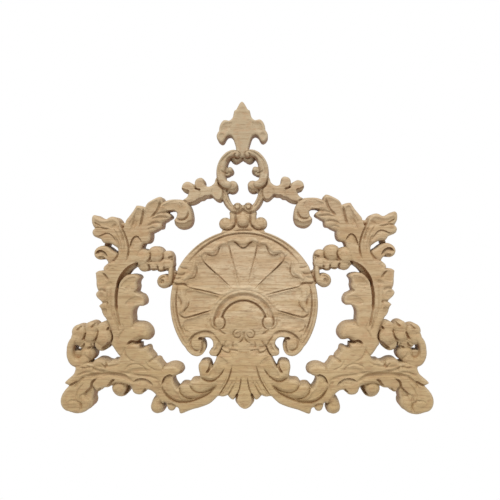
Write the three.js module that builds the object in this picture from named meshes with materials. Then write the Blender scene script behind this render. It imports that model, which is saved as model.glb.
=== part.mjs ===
import * as THREE from "three";

// Driving sizes of the carving, in millimetres.
const overallWidth = 480;
const overallDepth = 26;

// Settings of the solid: field spacing and outline tolerance in millimetres, and the facet budget.
const fieldStep = 1;
const outlineTolerance = 0.34;
const reliefPoints = 1200;

// The carving is drawn on its right half, in drawing millimetres from the centre of the disc.
// X runs outward from the axis, Z runs up, and heights are measured from the flat back.
const sheetRight = 244;
const sheetBottom = -146;
const sheetTop = 268;

// Heights of the carved layers above the back.
const low = 7;
const base = 14;
const body = 16.5;
const field = 15;

const columns = Math.round(sheetRight / fieldStep) + 1;
const rows = Math.round((sheetTop - sheetBottom) / fieldStep) + 1;

// Height of the front and depth inside the outline at each field node, and the depth of open air.
const openAir = -1e3;
const height = new Float64Array(columns * rows);
const within = new Float64Array(columns * rows).fill(openAir);

// Smooth run through hand-chosen points. A third value of 1 makes a corner.
function smoothRun(points, closed) {
  const run = [];
  const count = points.length;
  const spans = closed ? count : count - 1;
  for (let i = 0; i < spans; i += 1) {
    const p1 = points[i];
    const p2 = points[(i + 1) % count];
    const openStart = (!closed && i === 0) || p1[2] === 1;
    const openEnd = (!closed && i + 2 > count - 1) || p2[2] === 1;
    const p0 = openStart ? p1 : points[(i - 1 + count) % count];
    const p3 = openEnd ? p2 : points[(i + 2) % count];
    const chord = Math.hypot(p2[0] - p1[0], p2[1] - p1[1]);
    const before = Math.sqrt(Math.hypot(p1[0] - p0[0], p1[1] - p0[1]));
    const during = Math.sqrt(Math.max(chord, 1e-9));
    const after = Math.sqrt(Math.hypot(p3[0] - p2[0], p3[1] - p2[1]));
    const steps = Math.max(1, Math.min(8, Math.round(chord / 1.6)));
    for (let k = 0; k < steps; k += 1) {
      const t = k / steps;
      const at = [0, 1].map((c) => {
        const step = p2[c] - p1[c];
        const m1 = openStart ? step
          : step + during * ((p1[c] - p0[c]) / before - (p2[c] - p0[c]) / (before + during));
        const m2 = openEnd ? step
          : step + during * ((p3[c] - p2[c]) / after - (p3[c] - p1[c]) / (during + after));
        const t2 = t * t;
        const t3 = t2 * t;
        return (2 * t3 - 3 * t2 + 1) * p1[c] + (t3 - 2 * t2 + t) * m1
          + (3 * t2 - 2 * t3) * p2[c] + (t3 - t2) * m2;
      });
      run.push(at);
    }
  }
  if (!closed) run.push([points[count - 1][0], points[count - 1][1]]);
  return run;
}

// Visits every field node near a run of points.
function eachNode(run, margin, visit) {
  const xs = run.map((p) => p[0]);
  const zs = run.map((p) => p[1]);
  const i0 = Math.max(0, Math.floor((Math.min(...xs) - margin) / fieldStep));
  const i1 = Math.min(columns - 1, Math.ceil((Math.max(...xs) + margin) / fieldStep));
  const j0 = Math.max(0, Math.floor((Math.min(...zs) - margin - sheetBottom) / fieldStep));
  const j1 = Math.min(rows - 1, Math.ceil((Math.max(...zs) + margin - sheetBottom) / fieldStep));
  for (let j = j0; j <= j1; j += 1) {
    for (let i = i0; i <= i1; i += 1) {
      visit(j * columns + i, i * fieldStep, sheetBottom + j * fieldStep);
    }
  }
}

// Nearest point of a run: distance, side (positive on the left) and share of the way along.
function nearest(run, closed, x, z) {
  let best = Infinity;
  let side = 1;
  let along = 0;
  let odd = false;
  const count = run.length;
  const spans = closed ? count : count - 1;
  for (let i = 0; i < spans; i += 1) {
    const a = run[i];
    const b = run[(i + 1) % count];
    const ux = b[0] - a[0];
    const uz = b[1] - a[1];
    const wx = x - a[0];
    const wz = z - a[1];
    const t = Math.max(0, Math.min(1, (wx * ux + wz * uz) / (ux * ux + uz * uz || 1)));
    const gap = (wx - t * ux) ** 2 + (wz - t * uz) ** 2;
    if (gap < best) {
      best = gap;
      side = ux * wz - uz * wx >= 0 ? 1 : -1;
      along = (i + t) / spans;
    }
    if ((a[1] > z) !== (b[1] > z) && x < a[0] + (ux * (z - a[1])) / uz) odd = !odd;
  }
  return { distance: Math.sqrt(best), side, along, inside: odd };
}

// Cross-section of a rounded edge: rises over the given run-in, then stays flat.
function dome(distance, round) {
  const t = Math.min(1, distance / round);
  return Math.sqrt(t * (2 - t));
}

function layMaterial(index, depthInside, level, rise, round, over) {
  if (depthInside > 0) {
    const z = level + rise * dome(depthInside, round);
    const covered = !over && within[index] > 0;
    height[index] = covered ? Math.max(height[index], z) : z;
  }
  within[index] = Math.max(within[index], depthInside);
}

// A shape with a closed outline and a rounded edge.
function patch(points, level, rise, round, over) {
  const run = smoothRun(points, true);
  eachNode(run, 2, (index, x, z) => {
    const near = nearest(run, true, x, z);
    layMaterial(index, near.inside ? near.distance : -near.distance, level, rise, round, over);
  });
}

// A round berry or knob.
function ball(x0, z0, radius, level, rise, over) {
  eachNode([[x0 - radius, z0 - radius], [x0 + radius, z0 + radius]], 2, (index, x, z) => {
    const inner = radius - Math.hypot(x - x0, z - z0);
    layMaterial(index, inner, level, rise, radius, over);
  });
}

// A ribbon along a spine of [x, z, half width] points.
function ribbon(spine, level, rise, round, over) {
  const run = smoothRun(spine, false);
  const widest = Math.max(...spine.map((p) => p[2]));
  const last = spine.length - 1;
  const counts = run.map((p) => {
    let bestShare = 0;
    let bestGap = Infinity;
    for (let i = 0; i < last; i += 1) {
      const a = spine[i];
      const b = spine[i + 1];
      const ux = b[0] - a[0];
      const uz = b[1] - a[1];
      const raw = ((p[0] - a[0]) * ux + (p[1] - a[1]) * uz) / (ux * ux + uz * uz);
      const t = Math.max(0, Math.min(1, raw));
      const gap = Math.hypot(p[0] - a[0] - t * ux, p[1] - a[1] - t * uz);
      if (gap < bestGap) {
        bestGap = gap;
        bestShare = a[2] + t * (b[2] - a[2]);
      }
    }
    return bestShare;
  });
  eachNode(run, widest + 2, (index, x, z) => {
    const near = nearest(run, false, x, z);
    const at = near.along * (run.length - 1);
    const k = Math.min(run.length - 2, Math.floor(at));
    const half = counts[k] + (at - k) * (counts[k + 1] - counts[k]);
    layMaterial(index, half - near.distance, level, rise, round * (half / widest), over);
  });
}

// A cut along a run. It fades out towards both ends unless it is told to keep its depth.
function groove(points, width, depth, full) {
  const run = smoothRun(points, false);
  eachNode(run, width, (index, x, z) => {
    const near = nearest(run, false, x, z);
    const fade = full ? 1 : Math.min(1, 5 * near.along, 5 * (1 - near.along));
    const share = near.distance / (width * (0.5 + 0.5 * fade));
    if (share < 1) height[index] -= depth * fade * (1 - share * share);
  });
}

// An overlap: the ground drops sharply on the left of the run and climbs back over the width.
function lip(points, width, depth) {
  const run = smoothRun(points, false);
  eachNode(run, width, (index, x, z) => {
    const near = nearest(run, false, x, z);
    const fade = Math.min(1, 6 * near.along, 6 * (1 - near.along));
    const ended = near.along <= 0 || near.along >= 1;
    const share = near.distance / width;
    if (near.side > 0 && share < 1 && !ended) height[index] -= depth * fade * (1 - share) ** 1.5;
  });
}

// A hollow with a closed outline, deepest in its middle.
function hollow(points, depth, round) {
  const run = smoothRun(points, true);
  eachNode(run, 0, (index, x, z) => {
    const near = nearest(run, true, x, z);
    if (near.inside) height[index] -= depth * dome(near.distance, round);
  });
}

// Completes a right half drawn from the axis back to the axis.
function mirrored(half) {
  const left = half.filter((p) => p[0] !== 0).map((p) => [-p[0], ...p.slice(1)]);
  return [...half, ...left.reverse()];
}

// Points along an arc or a spiral, angles in degrees from the X axis.
function arc(x0, z0, r0, r1, from, to, count) {
  return Array.from({ length: count + 1 }, (unused, i) => {
    const t = i / count;
    const angle = ((from + t * (to - from)) * Math.PI) / 180;
    const r = r0 + t * (r1 - r0);
    return [x0 + r * Math.cos(angle), z0 + r * Math.sin(angle)];
  });
}

// Finial.
patch(mirrored([[0, 262.4], [2.6, 260.4], [5.4, 255.6], [7.6, 252], [10, 250.6, 1], [11, 246.6],
  [12, 242.4], [14.2, 239.4], [17.4, 238], [20.6, 238.8], [23.4, 238.8], [26.2, 236.6],
  [28.6, 232.6], [29.8, 228], [29.9, 225.2, 1], [31.8, 222.4], [33.2, 218.6], [32.4, 214.2],
  [30, 211], [27, 209.4], [24.4, 210.4], [22.4, 213.6], [20.4, 217], [17.2, 218.9], [14, 218],
  [11.8, 214.6], [10.2, 209.6], [8.6, 204.6], [8, 199, 1], [8, 190, 1], [0, 190]]),
  base, 2.2, 2.8, false);

// Neck.
patch(mirrored([[0, 122], [4, 121.6], [10, 120.6], [17.6, 119.8], [17, 115], [18, 108],
  [24, 101], [27.2, 96, 1], [30, 90, 1], [0, 88]]), base, 2, 5, false);

// Sprig.
patch([[30, 152], [34, 164], [35.2, 159], [38.2, 155.2], [42.2, 152.9], [46.2, 153], [49.2, 155.8],
  [50.1, 158.4], [49.6, 160.8], [51.2, 163.2], [54.4, 164.3], [58.2, 163.2], [60.7, 160.8],
  [61.9, 156.8], [63, 155.8, 1], [65.6, 157.3], [69.4, 159], [72.8, 159.2], [76, 157.5],
  [78, 154.4], [79, 151.2], [78, 148], [75.8, 145.8], [72.8, 145.2], [70.8, 143.8],
  [71.2, 140.8], [73.6, 138], [77, 136], [72, 131], [68.8, 129.8], [64.6, 130.4], [59.8, 132.4],
  [55.6, 135.4], [51.6, 136], [48.2, 138.4], [44, 138.6], [40.8, 139.4, 1], [38.4, 137.4],
  [35, 134.4], [31, 133], [27.8, 134.2], [25.6, 138], [25, 144], [26, 149]], body, 3, 3.6, false);

// Webs that close the small gaps beside the crest scroll, the disc and the lower berries.
patch([[18, 145], [24, 145], [24, 152], [19, 150]], base, 0, 1, false);
patch(mirrored([[0, 128.4], [3, 129], [5, 122], [4, 117], [0, 117]]), base, 1, 2, false);
patch([[24, 158], [33, 164.6], [36, 153], [30, 146], [22, 147]], body, 0, 1, false);
patch([[16, 168], [24, 166], [28, 172], [25, 178.4], [17, 176]], base, 2, 4, false);
patch([[171, -22], [180, -20], [186, -30], [184, -46], [173, -48], [168, -36]], body, 0, 1, false);
patch([[84, 43], [87.4, 42.6], [92, 44.5], [96, 40], [94, 26], [89, 25], [84, 32]], base, 0, 1, false);

// Crest scroll.
patch([[0, 192], [0, 188], [2.5, 186.4], [5, 184.6], [8, 183.2], [11, 183.6], [14, 185.8],
  [16.4, 189], [18, 194], [8, 199]], 6, 8.6, 7, false);
patch([[21, 178], [18.6, 176.9], [15.4, 177.8], [12.8, 176.2], [11.6, 173.4], [12.2, 170.6],
  [14.4, 168.6], [17.4, 167.6], [20.6, 167.6], [23, 168.6], [25, 172]], low, 7, 5, false);
ball(14, 151.6, 7.8, low, 11, false);
ribbon([[6.8, 194, 5], [11.5, 195.2, 4.7], [17.6, 193.3, 4.6], [21.6, 189.6, 4.8],
  [24.2, 185.4, 5.4], [25.9, 181, 6], [27.2, 176, 6.2], [27.9, 171, 6], [27.9, 165.5, 6],
  [26.8, 160.4, 6], [23.4, 156, 5.6], [18.5, 154.4, 5]], field, 6, 5, false);

// Lower scroll of the crest and the neck scrolls.
ribbon([[26.8, 150, 3.4], [24.4, 144, 4.2], [22.9, 138, 4.5], [20.6, 132.4, 4.6],
  [17, 127.2, 4.5], [12.5, 124, 4.4], [8, 124, 4]], 13, 4, 4, false);
ball(6.9, 125.9, 5.9, 13, 4, false);
ribbon([[13.4, 120, 3.6], [13.2, 112, 3.7], [13.4, 105, 4], [16.4, 100.4, 4.2], [21, 98.6, 3]],
  13, 4, 3, false);
ball(22.8, 104.3, 8.4, 13, 4.5, false);
patch(mirrored([[0, 119], [4, 117.6], [6.6, 113.4], [7, 108], [5.6, 103], [3, 100.6], [0, 100]]),
  13, 5, 6, false);

// Arm scroll.
patch([[105, 132], [98, 135.4], [92, 136.6], [84, 136.6], [77, 135.6], [71.6, 132], [68.2, 127],
  [66.4, 121.6], [65.3, 115.6], [65.2, 109.8], [66.6, 104.6], [69.4, 101], [73.4, 98.8],
  [78, 97.8], [82, 98.2], [85.6, 100.4], [88.3, 104], [89.2, 107.6], [88.4, 110.6],
  [86.4, 113], [85.3, 116.4], [85.2, 119.2], [88, 121.4], [93, 122], [97, 121], [102, 118],
  [110, 121], [110, 129]], body, 4.5, 6, false);

// Upper leaf with its fingers, running down from the arm scroll.
patch([[103, 133], [103.6, 137.4], [105.8, 140.2], [109.2, 140], [113.4, 138.4], [118.4, 135.8],
  [122.6, 133.2], [125.2, 130], [126.6, 127, 1], [130.6, 128.6], [135, 129.4], [138, 129.3, 1],
  [140.2, 125.6], [143.6, 120.6], [147.6, 115.6], [151, 111.4], [153, 107.8, 1],
  [159.2, 107.4, 1], [161.6, 111.4], [165, 114.2], [170, 115.5], [174.4, 114.2], [177.6, 112.2],
  [181.8, 112.6], [186.8, 114.6], [190.8, 117], [193.4, 117.8], [195.6, 116.4], [196.6, 112],
  [196.2, 107], [194.6, 103.2], [192.8, 100.4, 1], [194.8, 98.6], [196, 95.6], [195, 91.6],
  [192.4, 89.2], [188.4, 87.6], [184.6, 86, 1], [182.4, 82.4], [180, 80.8], [174.4, 80.6],
  [170, 79.2], [166.4, 76.8], [163, 74], [163, 66], [168, 58], [170, 50], [160, 38],
  [152.5, 39.6], [147, 45.5], [141.5, 50], [136, 58], [133, 68], [131.4, 73],
  [130, 77.4], [128.6, 79.4], [124.6, 79.8], [121, 82.4], [119.6, 86], [119.2, 89.6],
  [119.4, 93.2, 1], [116.6, 94.4], [113.2, 96],
  [109.8, 98.2], [106, 98.8], [104.8, 100], [104, 103.6], [103.6, 106.4], [100.2, 108.2],
  [97.6, 110.2], [94.2, 112], [92.4, 114], [93.4, 116.6], [96.6, 119.4], [101, 121.4],
  [104, 126]], body, 4, 4.5, false);

// Curled finger under the upper leaf, with the shallow bridge between them.
patch([[177, 81.4], [183, 82], [184, 77.4], [178, 76.4]], low, 0, 1, false);
patch([[168, 70.6], [170.4, 72], [173.4, 74.6], [178, 77.2], [181.8, 77.9], [186.8, 76.9],
  [191, 74.3], [193.4, 70.7], [193.9, 66.6], [192.6, 63.2], [190, 60.8], [185.8, 59.5],
  [182.4, 60.3], [180.6, 61.4, 1], [178.2, 59.8], [176.4, 57.6], [175.4, 55.4], [168, 54],
  [162, 60], [163, 67]], body, 3.6, 4, false);

// Standing leaf with the large inner lobe.
patch([[151.5, 40], [146, 40.6], [140.6, 40.2], [136.4, 38.6], [134.2, 35.6], [136.6, 32],
  [137.6, 28], [137, 24], [138.6, 17.2, 1], [135.2, 15], [131.8, 13.6], [129, 10.2],
  [127.6, 5.8], [128, 1.8], [130, -0.8], [134, -0.8], [137.6, -1.2], [141, -4], [143, -8.4],
  [143.6, -12.6], [143.2, -17.6], [143, -24], [142, -36], [141, -48, 1], [150, -56], [160, -66],
  [166.4, -59.4], [170, -53.8],
  [172.6, -50.2], [171, -42], [173, -30], [178.4, -18.4], [180, -15.8], [182.6, -12.8],
  [184.2, -9.2], [185, -5.8], [186.6, -2.6], [188.4, -0.4, 1], [186, 1.6], [183.8, 3.4, 1],
  [185, 5.4], [187.6, 7.6], [190.8, 10.8], [192.2, 15], [190.8, 17.6], [188.8, 19.2, 1],
  [190, 21.8], [191.3, 26.6], [191.4, 32], [191.8, 38], [192.3, 42.6, 1], [189.2, 44.8],
  [185, 45.6], [181.4, 45.2, 1], [182, 48], [180.9, 50.6], [178.4, 53], [175.4, 55.4, 1],
  [170, 58], [160, 56], [154, 46]], body, 4, 4.5, false);

// Inner lobe of the standing leaf, rounded down to the back.
patch([[150, -17], [142.6, -21.6], [138, -22.2], [133, -22.6], [128, -24.4], [123.8, -28],
  [121, -32.4], [119.9, -37.4], [120.8, -42], [124, -45.8], [128, -46.4], [134, -45.8],
  [138, -49], [148, -55], [160, -48], [162, -28]], low, 13.5, 9, false);

// Lower foliage: branch, corner bulb, hook, bottom sweep and the pendant plume.
patch([[86, -90], [82, -84], [90, -78], [104, -79.5, 1], [108.4, -74.4], [110.8, -70.2],
  [113, -68.9], [116.6, -69.2, 1], [117, -66.6], [119.6, -63.2], [122.4, -59.8],
  [123.2, -55.6], [125, -53.6], [129, -53.8], [131.6, -55.4], [134.8, -55.6, 1],
  [135, -50, 1], [150, -50], [161, -64.6], [162.4, -68.6], [166, -70.6], [171, -70.8],
  [174.6, -73], [178, -72.4], [182.6, -70], [187, -69], [191.4, -69.2], [194.8, -71],
  [197.4, -74.6, 1], [206, -74], [220.4, -79.2], [220, -81.7], [220.6, -84.4],
  [222.4, -88.6], [225.6, -92], [229.4, -95.2], [232.6, -98.2], [234.2, -100.2, 1],
  [233, -101.6], [230.8, -102.6], [228.6, -103.8, 1], [231, -106.4], [234.4, -110.2],
  [237.6, -115], [239.3, -119.2], [240, -123.4], [239.6, -127.6], [237.6, -132.4],
  [234.2, -135.8], [228.4, -138.3], [221.8, -140], [215, -140], [209.4, -138.6],
  [204.4, -135.6], [201.4, -132], [200, -128], [200.8, -124], [203.6, -120.8],
  [206.6, -118], [207.4, -115.4], [203.4, -111.6], [199.4, -108.2], [196.4, -105.6, 1],
  [195, -107.4], [193.3, -110.2], [190.8, -111.5], [188, -110.6], [185.4, -108],
  [182, -106.4], [178.4, -106.4], [175, -105.2], [172.4, -103.2, 1], [168, -101],
  [160, -101], [153, -102.4], [149.6, -103.3], [147.6, -105], [146, -108.3],
  [144.7, -111.7], [141.8, -114.4], [137.6, -115.5], [133, -115], [130.2, -113],
  [128.6, -110.4], [125.8, -109.3], [121.8, -110], [118.4, -112.2], [115.2, -115.2, 1],
  [112, -120], [108, -125], [105.6, -126.6], [103.4, -125.4],
  [101.6, -126.2], [100.8, -129.2], [99.9, -131.8], [98.3, -134.8], [95.8, -136.1],
  [92.6, -136.1], [90.2, -134.2], [89, -131.8], [86.4, -132.4], [85.1, -134.8],
  [84.2, -138.8], [82.6, -140], [79.8, -139.5], [73.4, -136.9], [67, -134.5], [59, -132.4],
  [51, -129.7], [44.6, -126.8], [39.8, -122.8], [35, -118, 1], [32.6, -117.3],
  [29.4, -118], [25.4, -117.7], [22, -116.3, 1], [19.8, -118.8], [17.4, -121.2],
  [14.2, -122], [12.2, -120.4, 1], [12.2, -125], [9.8, -129.2], [6.2, -133.2],
  [3, -134.9], [0, -135.5], [-8, -130], [-8, -60], [0, -52], [26, -52], [31, -58], [35.4, -66.4],
  [37, -71], [39.6, -76.4], [42, -80.4, 1], [43, -76.8], [44.4, -73.4], [47.2, -71.6],
  [51.2, -71.4], [55.2, -72.4], [58, -75], [59.2, -78.6], [59, -82.4], [58, -87.6],
  [57.4, -92], [58.6, -95.6], [62, -96.4], [66, -96.4], [69.4, -98], [71.2, -100.6],
  [72.4, -102.4, 1], [75, -101.6], [79, -101.4], [82.4, -102.6], [84.8, -105.4],
  [86.4, -107, 1], [88.6, -104.4], [91, -100], [91.8, -95.6], [90.6, -92]],
  body, 4, 4.5, false);
patch([[104, -79], [99, -76.9], [94.6, -75.7], [89.4, -75.8], [85, -77.4], [81.6, -80],
  [80, -83.6], [79.8, -86.2], [81, -88.8], [84, -90.6], [87.4, -91.4], [92, -90],
  [98, -90], [108, -90], [116, -84], [112, -78]], low, 13.5, 9, false);
patch([[112, -108], [115.2, -115.2], [117.6, -119.2], [121, -124.2], [122.7, -129.2],
  [123.3, -134.2], [121.9, -138.3], [119.2, -140.5], [115, -141.6], [110.4, -141.5],
  [107, -140.2], [104.8, -137.4], [104.2, -134.4], [105, -131.4], [106.4, -129], [105.6, -126.6],
  [103, -122], [104, -114]], low, 13, 8, false);
patch([[151, -98], [150, -103.6], [156, -106], [168, -106], [173.4, -103.4], [172, -96]], body, 0, 1,
  false);
ball(161.8, -108, 11.4, low, 13, false);

// Disc with its lower volutes, its frill lying over the plume.
patch(mirrored([[0, 95.8], ...arc(0, 0.8, 95.2, 96.6, 86, 72, 4), ...arc(0, 0.8, 96.8, 96.6, 68, 29, 9),
  ...arc(0, 0.8, 95.3, 95, 24, -33, 15), [76.6, -54.4], [73.6, -59], [70, -62.6], [66.2, -65.2],
  [62, -66.3], [58, -65.8], [54.4, -64], [51.8, -61.2], [50.3, -57.6], [49.9, -53.6],
  [50.9, -49], [52.6, -45.4], [51.4, -42.6], [47, -42], [43.2, -43.4], [40.8, -46.4],
  [39.9, -50.4], [40.3, -54], [42.4, -57.4], [45.2, -60.6], [44.6, -63.4], [42.4, -65.4],
  [38.6, -66], [35.6, -66.4, 1], [31, -60.4], [29.5, -55.5, 1], [26, -59.4], [22, -61.2],
  [19, -61.8, 1], [18, -57.5, 1], [12, -58], [7, -60], [0, -61.4]]), 16.5, 2.5, 2.6, true);

patch(mirrored([[0, -46], [5, -48], [7.4, -54], [8, -62], [7, -70], [0, -72]]), 19, 0, 1, false);

// Upper berries and the scroll that ties them to the rim.
patch([[92, 66], [104, 68], [128, 72], [140, 66], [141, 52], [130, 47], [112, 47], [98, 46],
  [92, 50]], base, 0, 1, false);
ball(98.4, 63.6, 6.9, field, 3.6, false);
ball(98.5, 52.4, 8.3, field, 4.4, false);
ball(107.4, 49.6, 6.8, field, 3.4, false);
ball(117, 51, 6.6, field, 3.4, false);
ball(128.6, 52, 8.6, field, 4, false);
ball(113.6, 65.8, 10.8, field, 5.6, false);
ball(131.4, 61.6, 12, field, 6, false);
patch([[94, 56], [100, 60], [112, 58], [126, 56], [138, 60], [140, 56], [128, 52], [112, 51],
  [98, 52]], field, 3, 3, false);
ribbon([[94.6, 47, 3.6], [94.6, 40, 3.6], [95.4, 34, 3.8], [97, 30, 4.4]], base, 5, 4, false);
ball(103.4, 30.6, 9.2, base, 6, false);

// Lower berries with the curl beside them.
ribbon([[220, -42, 5], [225.6, -50, 5], [227.3, -58, 4.8], [226.6, -66, 5.4],
  [222, -73, 6.4], [214, -74.6, 6.6], [208, -70, 7]], base, 6, 5, false);
ball(205.6, -63.4, 10.6, 10, 9.5, false);
ball(203.6, -50.4, 7.4, field, 3, false);
ball(211, -50, 6, field, 2, false);
ball(183, -31, 9.4, field, 4, false);
ball(199, -29.6, 8.8, field, 4, false);
ball(215.6, -34.6, 9.6, field, 4.6, false);
ball(185.8, -50, 9.4, field, 3, false);
ball(200, -40, 9.6, field, 5, false);
ball(216.8, -42.6, 9.6, field, 4.6, false);
ball(182.6, -41.6, 12.2, field, 6, false);
// Finial and crest: soft scoops, the band's middle groove, the top curl and the rolled ends.
hollow([[13, 235], [20, 235.5], [26, 231], [27, 224], [22, 222], [15, 227]], 1, 6);
hollow([[23.5, 220], [28, 221], [30.5, 217], [27.5, 212.5], [24.5, 215]], 0.8, 4);
groove([[9, 197.6], [15.8, 194.6], [19.8, 191.6], [24.6, 186.8], [27.8, 182], [29.4, 175.6],
  [29.8, 169.2], [29.4, 162.8]], 1.7, 1.7);
groove(arc(7.6, 192.4, 5.8, 1.4, 20, 470, 26), 1.1, 2.2);
groove([[13.6, 190], [16.8, 189], [19, 186], [20.2, 182.4]], 1.4, 2);
ball(16.6, 174.2, 4, 13, 3.4, false);
groove([[27.6, 173], [25, 170.8], [21, 169.6], [17, 169.2]], 1.3, 1.6);
groove([[12.6, 173.4], [14.6, 171.4], [17.4, 170.8], [20, 172.4]], 1, 1.3);
ball(12.8, 153.6, 6.4, 14, 4, false);
groove([[27.6, 151.2], [22.2, 148.6], [19.4, 145.6]], 1.4, 1.4);
groove([[7, 152.4], [9.4, 149], [13.6, 147.6], [17.6, 149]], 1.2, 1.5);
groove([[34, 167.6], [31.8, 160], [30.2, 154.4], [27, 150.4], [25.8, 148]], 1.3, 1.5, true);

// Neck: the lower bands, their volutes and the recess beside the boss.
groove([[24.6, 148], [23, 141.6], [21.4, 135.2], [17.4, 128.8], [13.4, 124]], 1.4, 1.4);
groove(arc(7.2, 126.6, 4.3, 3.9, 150, 385, 16), 1.7, 2.9, true);
groove(arc(7, 126.8, 3.2, 1.2, 25, 140, 8), 1, 1.2);
groove([[9.2, 119], [9.4, 112], [9.6, 105], [12.6, 100.4], [17, 98]], 1.5, 2);
groove([[17.6, 119.8], [13, 118.8], [9, 117.8], [5, 118.4], [2, 120.8], [0, 122.6]], 2.3, 3.2, true);
ball(0, 108, 8, 15.2, 5, false);
groove(arc(0, 108, 8.6, 8.6, 205, 335, 12), 1.8, 1.7);
groove([[12, 101], [16.6, 98], [22, 97], [27.4, 98.4]], 2.4, 1.5, true);
groove([[19.4, 108.6], [21.6, 110.6], [24.6, 111], [26.8, 108.8], [27, 105.8]], 1.4, 2);
lip([[29, 99], [24, 97.6], [18, 97.4], [12, 99.4]], 4, 2);

// Sprig: the crease between its berries and the lobe against the band.
groove([[53.6, 148.2], [58, 149], [62, 151]], 1.5, 3);
groove([[60.6, 150.4], [61.8, 153.4], [63, 156]], 1.5, 2.4, true);
ball(32, 143.4, 8.2, 15, 4.6, false);
groove([[25.4, 148], [25.4, 142], [27, 137.6], [29.6, 135.4]], 1.3, 1.6);
groove([[38.4, 150], [40, 145], [39, 140], [36.4, 136.6]], 1.2, 0.8);
groove([[56, 149], [54.6, 144], [55, 139.4], [57, 135.6]], 1.2, 0.8);
groove([[27.2, 135], [31, 133.6], [35.4, 135], [38.6, 138.2], [40.8, 140]], 2, 4.6, true);
groove([[40.8, 140], [44, 139.2], [48.4, 139], [51.8, 136.8], [55.8, 136], [60, 133.2],
  [64.8, 131.2], [68.6, 130.6]], 2.2, 4.6, true);
groove([[25.6, 133.4], [22.6, 128], [19.6, 123.6]], 1.8, 4, true);
ball(55.4, 157.6, 6.6, 15, 4.4, false);
ball(71.4, 152.2, 7.4, 15, 4.6, false);
hollow([[69, 148], [73, 149], [77.6, 151], [79, 147], [75, 144], [70, 143]], 4.4, 2.4);

// Arm scroll: rolled tongue over the dark barrel of the scroll.
hollow([[80, 123], [79.6, 128], [82.4, 132], [90, 133.4], [98, 131.6], [104, 128.4], [100, 124.8],
  [94, 123.4], [88, 124], [84, 120.6]], 1.8, 4);
groove([[78.6, 122], [79, 128], [82, 132.2], [89, 133.8], [98, 132]], 1.1, 1);
groove([[69, 131.4], [75, 134.4], [82, 134.6], [92, 134.4]], 1.4, 1);
hollow([[62, 109], [69.4, 109], [72.6, 106.6], [78.4, 105.4], [84.2, 107], [92, 109.6], [94, 100],
  [84, 92], [70, 92], [60, 100]], 3, 2.4);
hollow([[62, 103.4], [70, 101.6], [78, 100.4], [86, 102.4], [92, 105], [90, 94], [66, 94]], 4, 4);
groove([[69.6, 122], [70.2, 117.6], [71.4, 114], [74.8, 110.8], [79.4, 109.8], [84, 110.8],
  [86.6, 113.2]], 1.7, 2.4);
lip([[100, 121.2], [94, 122.6], [88.6, 122.2], [85.4, 119]], 4, 2);

// Upper leaf: creases between its lobes, the pocket over the berries, fingers and curl.
groove([[105.6, 136.4], [106.7, 132], [108.1, 127.4], [110.6, 122], [115, 117.2], [120, 112.4]],
  1.9, 2.8);
groove([[127.4, 126.4], [128.4, 121.4], [129.4, 115], [130.9, 108.3], [133.6, 100.6]], 1.7, 2.6);
groove([[137, 112], [140.6, 105], [142.6, 99], [146.6, 95.4]], 3, 1.3);
hollow([[131.4, 124], [136, 125.4], [139, 119.4], [143.6, 112], [147, 105.4], [141, 101], [136, 103.6],
  [132.8, 110], [131.2, 117]], 1.5, 5);
hollow([[110, 136], [116, 134], [122.6, 129.6], [126, 122], [126.6, 112], [122, 108], [116.6, 113],
  [111.6, 121], [109, 129]], 1.4, 5);
hollow([[160, 104], [166, 109.6], [174, 109], [184, 108.6], [191, 111], [192, 107], [184, 103.4],
  [174, 101.6], [166, 99], [160.6, 97]], 1.2, 4);
groove([[93.4, 113.6], [101, 113.4], [109, 114], [118, 111]], 1.7, 1.5);
groove([[98, 119.4], [106, 119], [112, 116.6], [117.6, 113.4]], 1.5, 1.2);
groove([[103.8, 105], [110, 107], [117, 106], [124, 102]], 1.7, 1.5);
groove([[110.6, 98.4], [117, 100], [124, 97.4]], 1.6, 1.2);
hollow([[152.6, 109.4], [160, 109], [159, 104], [156.6, 99.6], [154.6, 99.4], [153, 104]], 7, 1.4);
groove([[158, 106], [156.4, 100], [153, 92.6], [150, 84.6], [148.2, 76], [148.2, 68.6], [149.6, 62],
  [152, 55.4]], 1.4, 2.6);
groove([[159.6, 99], [158, 93], [156, 88], [155, 80]], 2.2, 1);
lip([[147, 72], [145.6, 80], [143.4, 86], [139.4, 90], [136, 90], [132.4, 86], [130, 80]], 7, 2.6);
groove([[183, 102.8], [188, 104.8], [193.4, 108.4]], 1.3, 1.8);
groove([[172, 99.4], [179, 99.8], [185, 101.4], [193, 100.6]], 1.3, 1.6);
groove([[163, 104.6], [166.6, 103.4], [168, 99.6]], 2.6, 1.2);
lip([[193.4, 91.2], [188.6, 90.4], [184.4, 91.4], [181.8, 92.6], [176.7, 94.4], [171.7, 93.2],
  [168.2, 90.2], [165.6, 86], [163, 81]], 6, 1.9);
groove([[161.4, 70], [161.2, 78], [163, 84], [166, 89]], 1.8, 1.6);
lip([[192, 66.4], [189.4, 70.6], [185, 72.3], [180, 70.5], [176.6, 66.8], [175, 62.4]], 9, 4);
groove([[179.6, 60.6], [183.6, 62.6], [188.6, 61.6]], 2, 3);
groove([[161.6, 70], [163.4, 63.6], [167, 59], [170.6, 56.4]], 1.4, 2);

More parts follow.
